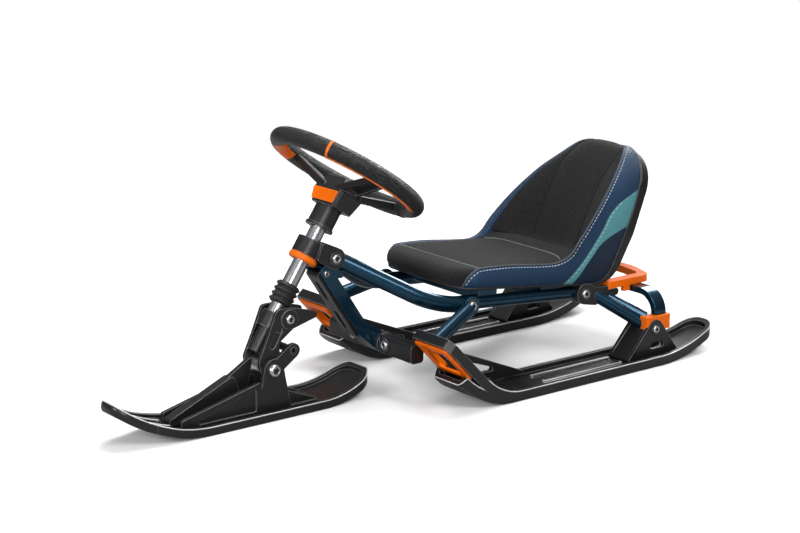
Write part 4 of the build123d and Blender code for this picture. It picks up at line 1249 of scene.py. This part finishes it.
    def build(self) -> None:
        """Makes the whole cover in place of the CAD's soft solids."""
        crease = self.crease * self.fine
        cushion = self._cloth("cushion_cover", 0, crease, (self.roll * self.fine, self.tail), False)
        self.shop.fit(cushion, Body.FRAME, Slot.FABRIC)
        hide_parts("seat_cushion")
        back = self._cloth("backrest_cover", crease, len(self.rows) - 1, (), True)
        self.shop.fit(back, Body.FRAME, Slot.FABRIC)
        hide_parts("backrest_pad")
        for side in Side:
            self._bolster(side)
            self._stitches(side)
        self._trim()


@dataclass
class WheelTrim:
    """Seam rings on the wheel's rim."""

    shop: Workshop
    foot: Vector = Vector((264.0, 0.0, 188.0))
    axis: Vector = Vector((-0.56928, 0.0, 0.822144))
    ahead: Vector = Vector((0.822144, 0.0, 0.56928))
    rim_station: float = 259.0
    rim_radius: float = 133.5
    grip_radius: float = 15.5
    seams: tuple[float, ...] = (170.0, 208.0)
    thread: float = 1.4
    steps: int = 40
    sides: int = 8

    def build(self) -> None:
        """Makes the rings."""
        left = Vector((0.0, 1.0, 0.0))
        hub = self.foot + self.axis * self.rim_station
        for number, angle in enumerate(self.seams):
            turn = math.radians(angle)
            out = self.ahead * math.cos(turn) + left * math.sin(turn)
            loop = circle(hub + out * self.rim_radius, out, self.axis, self.grip_radius, self.steps)
            path = [spot * MM for spot in loop]
            ring = self.shop.tube(f"rim_seam_{number}", path, self.thread * MM, BLACK, True, self.sides)
            self.shop.fit(ring, Body.STEERING, Slot.GRIP)


@dataclass
class SkiHighlightLines:
    """A thin bright tube along the outer upper edge of each ski, a painted highlight, traced from the CAD
    solid's own edges.
    """

    shop: Workshop
    radius: float = 1.15
    sides: int = 6
    # Lengths in metres: shortest highlight line, highest edge, and how near points are one point.
    shortest: float = 0.06
    highest: float = 0.085
    merge: float = 1e-5
    # Limits for the parts of the normals, and for the cosine between wall and top.
    wall_y: float = 0.6
    wall_x: float = 0.4
    wall_z: float = 0.8
    top_z: float = 0.5
    bend: float = 0.6
    skis: tuple[tuple[str, Body], ...] = (
        ("front_ski", Body.SKI),
        ("rear_ski_left", Body.FRAME),
        ("rear_ski_right", Body.FRAME),
    )

    def _edges(self, node: str) -> list[tuple[Vector, Vector]]:
        """Finds the edges between a ski's outer wall and its upper rim.

        Args:
            node: the ski's CAD node.

        Returns:
            The two ends of each edge, in metres.
        """
        low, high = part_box(node)
        middle = (low + high) / 2.0
        work = bmesh.new()
        work.from_mesh(frame["nodes"][node].data)
        bmesh.ops.remove_doubles(work, verts=work.verts, dist=self.merge)
        work.normal_update()
        found = []
        for edge in work.edges:
            if len(edge.link_faces) != 2:
                continue
            wall, top = sorted(edge.link_faces, key=lambda face: face.normal.z)
            place = wall.calc_center_median() - middle
            out = wall.normal
            flat = abs(out.y) > self.wall_y and out.y * place.y > 0.0
            ends = abs(out.x) > self.wall_x and out.x * place.x > 0.0 and abs(out.z) < self.wall_z
            tall = max(vert.co.z for vert in edge.verts) > self.highest
            upper = top.normal.z > self.top_z and out.dot(top.normal) < self.bend
            if (flat or ends) and upper and not tall:
                found.append((edge.verts[0].co.copy(), edge.verts[1].co.copy()))
        work.free()
        return found

    def _chains(self, edges: Sequence[tuple[Vector, Vector]]) -> list[list[Vector]]:
        """Joins loose edges into paths.

        Args:
            edges: the two ends of each edge.

        Returns:
            The paths, each as a list of points.
        """
        near: dict[tuple, list[tuple]] = {}
        spots: dict[tuple, Vector] = {}
        for first, second in edges:
            keys = [tuple(round(value, 5) for value in spot) for spot in (first, second)]
            for key, spot, other in ((keys[0], first, keys[1]), (keys[1], second, keys[0])):
                spots[key] = spot
                near.setdefault(key, []).append(other)
        paths = []
        left = set(near)
        while left:
            tips = [key for key in left if len(near[key]) == 1]
            key = min(tips) if tips else min(left)
            path = [key]
            left.discard(key)
            while True:
                after = [other for other in near[path[-1]] if other in left]
                if not after:
                    break
                path.append(after[0])
                left.discard(after[0])
            paths.append([spots[key] for key in path])
        return paths

    def build(self) -> None:
        """Lays the painted highlight lines."""
        for node, body in self.skis:
            for number, path in enumerate(self._chains(self._edges(node))):
                length = sum((after - before).length for before, after in zip(path, path[1:]))
                if length < self.shortest:
                    continue
                name = f"bead_{node}_{number}"
                highlight_line = self.shop.tube(name, path, self.radius * MM, HIGHLIGHT_LINE, False, self.sides)
                self.shop.fit(highlight_line, body, Slot.SKI)


class NosePoint(NamedTuple):
    """A point of the front ski's tip in millimetres: place in plan, wall's foot and head, roll's depth."""

    x: float
    y: float
    low: float
    high: float
    proud: float


@dataclass
class SkiNose:
    """The rolled edge round the front ski's tip, from the left side to the right."""

    shop: Workshop
    sink: float = 2.0
    steps: int = 10
    sharp: float = 50.0
    wall: tuple[NosePoint, ...] = (
        NosePoint(539.4, 46.5, 20.6, 36.8, 0.05),
        NosePoint(550.6, 43.9, 25.3, 41.9, 0.5),
        NosePoint(561.5, 41.3, 30.5, 47.5, 1.2),
        NosePoint(572.3, 38.8, 36.2, 53.6, 2.0),
        NosePoint(582.8, 36.4, 42.4, 60.2, 2.7),
        NosePoint(588.7, 34.4, 46.1, 64.2, 3.1),
        NosePoint(594.2, 31.1, 49.7, 68.1, 3.4),
        NosePoint(598.9, 26.6, 53.0, 71.7, 3.7),
        NosePoint(602.6, 21.0, 55.7, 74.6, 3.9),
        NosePoint(605.1, 14.4, 57.6, 75.9, 4.0),
        NosePoint(606.0, 7.2, 58.3, 76.1, 4.0),
        NosePoint(606.0, 0.0, 58.3, 76.1, 4.0),
    )

    def build(self) -> None:
        """Makes the roll as a closed band of half-round sections."""
        mirrored = [row._replace(y=-row.y) for row in reversed(self.wall[:-1])]
        rows = [*self.wall, *mirrored]
        points: list[Vector] = []
        for index, row in enumerate(rows):
            before, after = rows[max(index - 1, 0)], rows[min(index + 1, len(rows) - 1)]
            along = Vector((after.x - before.x, after.y - before.y, 0.0)).normalized()
            out = along.cross(Vector((0.0, 0.0, -1.0)))
            middle, half = (row.high + row.low) / 2.0, (row.high - row.low) / 2.0
            spot = Vector((row.x, row.y, middle))
            inner = spot - out * self.sink
            reach = Vector((0.0, 0.0, half - self.sink))
            points.append((inner - reach) * MM)
            for step in range(self.steps + 1):
                turn = math.pi * (step / self.steps - 0.5)
                lift = Vector((0.0, 0.0, half * math.sin(turn)))
                points.append((spot + out * row.proud * math.cos(turn) + lift) * MM)
            points.append((inner + reach) * MM)
        faces = ring_faces(len(rows), len(points) // len(rows))
        roll = self.shop.piece("ski_nose_roll", points, faces, SKI, self.sharp)
        self.shop.fit(roll, Body.SKI, Slot.SKI)


@dataclass
class HoopBezels:
    """Orange frames round the foot hoops' windows, on the sloping front face."""

    shop: Workshop
    ski_y: float = 175.0
    slope: float = 46.0
    face: float = -32.6
    proud: float = 3.4
    half_outer: float = 45.0
    half_inner: float = 29.0
    low_outer: float = 47.0
    low_inner: float = 61.0
    high_inner: float = 119.0
    high_outer: float = 135.0
    corner: float = 9.0
    corner_steps: int = 6
    tighten: float = 0.4
    bevel: float = 1.2
    sink: float = 0.6
    sharp: float = 50.0

    def _loop(self, half: float, low: float, high: float, corner: float) -> list[tuple[float, float]]:
        """Draws a rounded rectangle on the face.

        Args:
            half: half its width.
            low: its lower edge along the slope.
            high: its upper edge along the slope.
            corner: its corner radius.

        Returns:
            Its points as Y from the ski's middle and the way along the slope.
        """
        points = []
        corners = ((half, high, 0.0), (-half, high, 90.0), (-half, low, 180.0), (half, low, 270.0))
        for across, along, start in corners:
            middle = across - math.copysign(corner, across)
            way = along + (corner if along == low else -corner)
            for step in range(self.corner_steps + 1):
                turn = math.radians(start + 90.0 * step / self.corner_steps)
                points.append((middle + corner * math.cos(turn), way + corner * math.sin(turn)))
        return points

    def build(self) -> None:
        """Makes both frames."""
        tilt = math.radians(self.slope)
        out = Vector((math.sin(tilt), 0.0, -math.cos(tilt)))
        along = Vector((math.cos(tilt), 0.0, math.sin(tilt)))
        # Step in from the edge, whether the edge is the inner one, and height over the face.
        rings = (
            (0.0, False, -self.sink),
            (0.0, False, self.proud - self.bevel),
            (self.bevel, False, self.proud),
            (-self.bevel, True, self.proud),
            (0.0, True, self.proud - self.bevel),
            (0.0, True, -self.sink),
        )
        for side in Side:
            points: list[Vector] = []
            for inset, inner, rise in rings:
                half = (self.half_inner if inner else self.half_outer) - inset
                low = (self.low_inner if inner else self.low_outer) + inset
                high = (self.high_inner if inner else self.high_outer) - inset
                for across, way in self._loop(half, low, high, self.corner - self.tighten * inset):
                    spot = out * (self.face + rise) + along * way
                    points.append((spot + Vector((0.0, side.value * (self.ski_y + across), 0.0))) * MM)
            faces = ring_faces(len(rings), len(points) // len(rings), True)
            bezel = self.shop.piece(f"hoop_bezel_{side.label}", points, faces, ORANGE, self.sharp)
            self.shop.fit(bezel, Body.FRAME, Slot.ORANGE)


@dataclass
class CadDress:
    """Gives every CAD node the finish of its slot."""

    palette: Palette

    def build(self) -> None:
        """Sets the materials."""
        slots = {part["node"]: Slot(part["material_slot"]) for part in frame["record"]["subparts"]}
        for name, item in frame["nodes"].items():
            material = self.palette.get(NODE_FINISH[slots[name]])
            item.data.materials.clear()
            item.data.materials.append(material)
            log.info("node %s wears %s", name, material.name)


class Lamp(NamedTuple):
    """An area lamp that looks at the sled: its place and size in metres and its power in watts."""

    name: str
    x: float
    y: float
    z: float
    size: float
    power: float


@dataclass
class Studio:
    """Floor, lamps, surroundings and the camera."""

    azimuth: float = 52.3005
    elevation: float = 14.173
    distance: float = 3.60328
    target_z: float = 0.214135
    lens: float = 90.0
    sensor: float = 36.0
    aim_z: float = 0.2
    floor_size: float = 40.0
    floor_shade: Colour = (0.3, 0.3, 0.3)
    paper: tuple[Colour, Colour] = ((0.9, 0.9, 0.9), (0.93, 0.93, 0.93))
    fade: Span = (1.0, 2.4)
    horizon: Span = (-0.1, 0.9)
    sides: Colour = (0.075, 0.078, 0.08)
    overhead: Colour = (0.34, 0.345, 0.36)
    white: Colour = (1.0, 1.0, 1.0)
    lamps: tuple[Lamp, ...] = (
        Lamp("key", 0.4, 2.7, 2.7, 1.5, 64.0),
        Lamp("top", -0.3, -0.3, 2.8, 1.6, 56.0),
        Lamp("rim", -2.4, -1.0, 1.7, 1.2, 60.0),
        Lamp("front", 2.9, 0.2, 1.2, 0.9, 34.0),
        Lamp("fill", 1.9, 2.6, 1.2, 0.8, 40.0),
    )

    def _floor(self) -> None:
        """Lays a large floor that looks white and throws little light back."""
        half = self.floor_size / 2.0
        mesh = bpy.data.meshes.new("floor")
        corners = [(-half, -half, 0.0), (half, -half, 0.0), (half, half, 0.0), (-half, half, 0.0)]
        mesh.from_pydata(corners, [], [(0, 1, 2, 3)])
        floor = add_object("floor", mesh)
        tree = Shader("floor_paper")
        tree.set(Roughness=0.9, Specular_IOR_Level=0.0)
        seen = tree.node("LightPath").outputs["Is Camera Ray"]
        noise = tree.node("TexNoise", {"Scale": 3.0})
        paper = tree.blend(noise.outputs[0], *self.paper)
        tree.feed("Base Color", tree.blend(seen, self.floor_shade, paper))
        away = tree.node("VectorMath", {0: tree.node("TexCoord").outputs["Object"]}, operation="LENGTH")
        far = tree.ramp(away.outputs["Value"], *self.fade)
        glow = tree.node("Emission", {"Strength": 1.0, "Color": self.white})
        shown = tree.math("MULTIPLY", far, seen)
        mix = tree.node("MixShader", {0: shown, 1: tree.shader.outputs[0], 2: glow.outputs[0]})
        tree.link(mix.outputs[0], tree.tree.nodes["Material Output"].inputs["Surface"])
        mesh.materials.append(tree.material)

    def _world(self) -> None:
        """Makes surroundings that are dim at the sides and brighter overhead, and white to the camera."""
        world = bpy.data.worlds.new("studio")
        world.use_nodes = True
        bpy.context.scene.world = world
        tree = Tree(world.node_tree)
        back = world.node_tree.nodes["Background"]
        split = tree.node("SeparateXYZ", {0: tree.node("TexCoord").outputs["Generated"]})
        height = tree.ramp(split.outputs["Z"], *self.horizon)
        sky = tree.blend(height, self.sides, self.overhead)
        seen = tree.node("LightPath").outputs["Is Camera Ray"]
        tree.link(tree.blend(seen, sky, self.white), back.inputs["Color"])
        back.inputs["Strength"].default_value = 1.0

    def _lights(self) -> None:
        """Hangs the area lamps."""
        aim = Vector((0.0, 0.0, self.aim_z))
        for lamp in self.lamps:
            data = bpy.data.lights.new(lamp.name, "AREA")
            data.size = lamp.size
            data.energy = lamp.power
            item = add_object(lamp.name, data)
            item.location = (lamp.x, lamp.y, lamp.z)
            self._look(item, aim - item.location)

    def _look(self, item: Piece, ahead: Vector) -> None:
        """Turns a lamp or the camera so that it looks along a direction."""
        item.rotation_mode = "QUATERNION"
        item.rotation_quaternion = ahead.to_track_quat("-Z", "Y")

    def _camera(self) -> None:
        """Sets the camera where the photograph was taken from."""
        turn, tilt = math.radians(self.azimuth), math.radians(self.elevation)
        back = Vector((math.cos(turn) * math.cos(tilt), math.sin(turn) * math.cos(tilt), math.sin(tilt)))
        data = bpy.data.cameras.new("camera")
        data.lens = self.lens
        data.sensor_width = self.sensor
        camera = add_object("camera", data)
        camera.location = Vector((0.0, 0.0, self.target_z)) + back * self.distance
        self._look(camera, -back)
        bpy.context.scene.camera = camera

    def build(self) -> None:
        """Sets the whole stage."""
        self._floor()
        self._world()
        self._lights()
        self._camera()
        bpy.context.scene.view_settings.view_transform = "Standard"


def main() -> None:
    """Builds the pieces in order."""
    logging.basicConfig(level=logging.INFO, format="%(name)s %(message)s")
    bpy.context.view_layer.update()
    palette = Palette()
    shop = Workshop(palette)
    builders = (
        Studio(),
        CadDress(palette),
        Bolts(shop),
        Upholstery(shop),
        WheelTrim(shop),
        SkiHighlightLines(shop),
        SkiNose(shop),
        HoopBezels(shop),
    )
    for builder in builders:
        log.info("building %s", type(builder).__name__)
        builder.build()


if __name__ == "__main__":
    main()
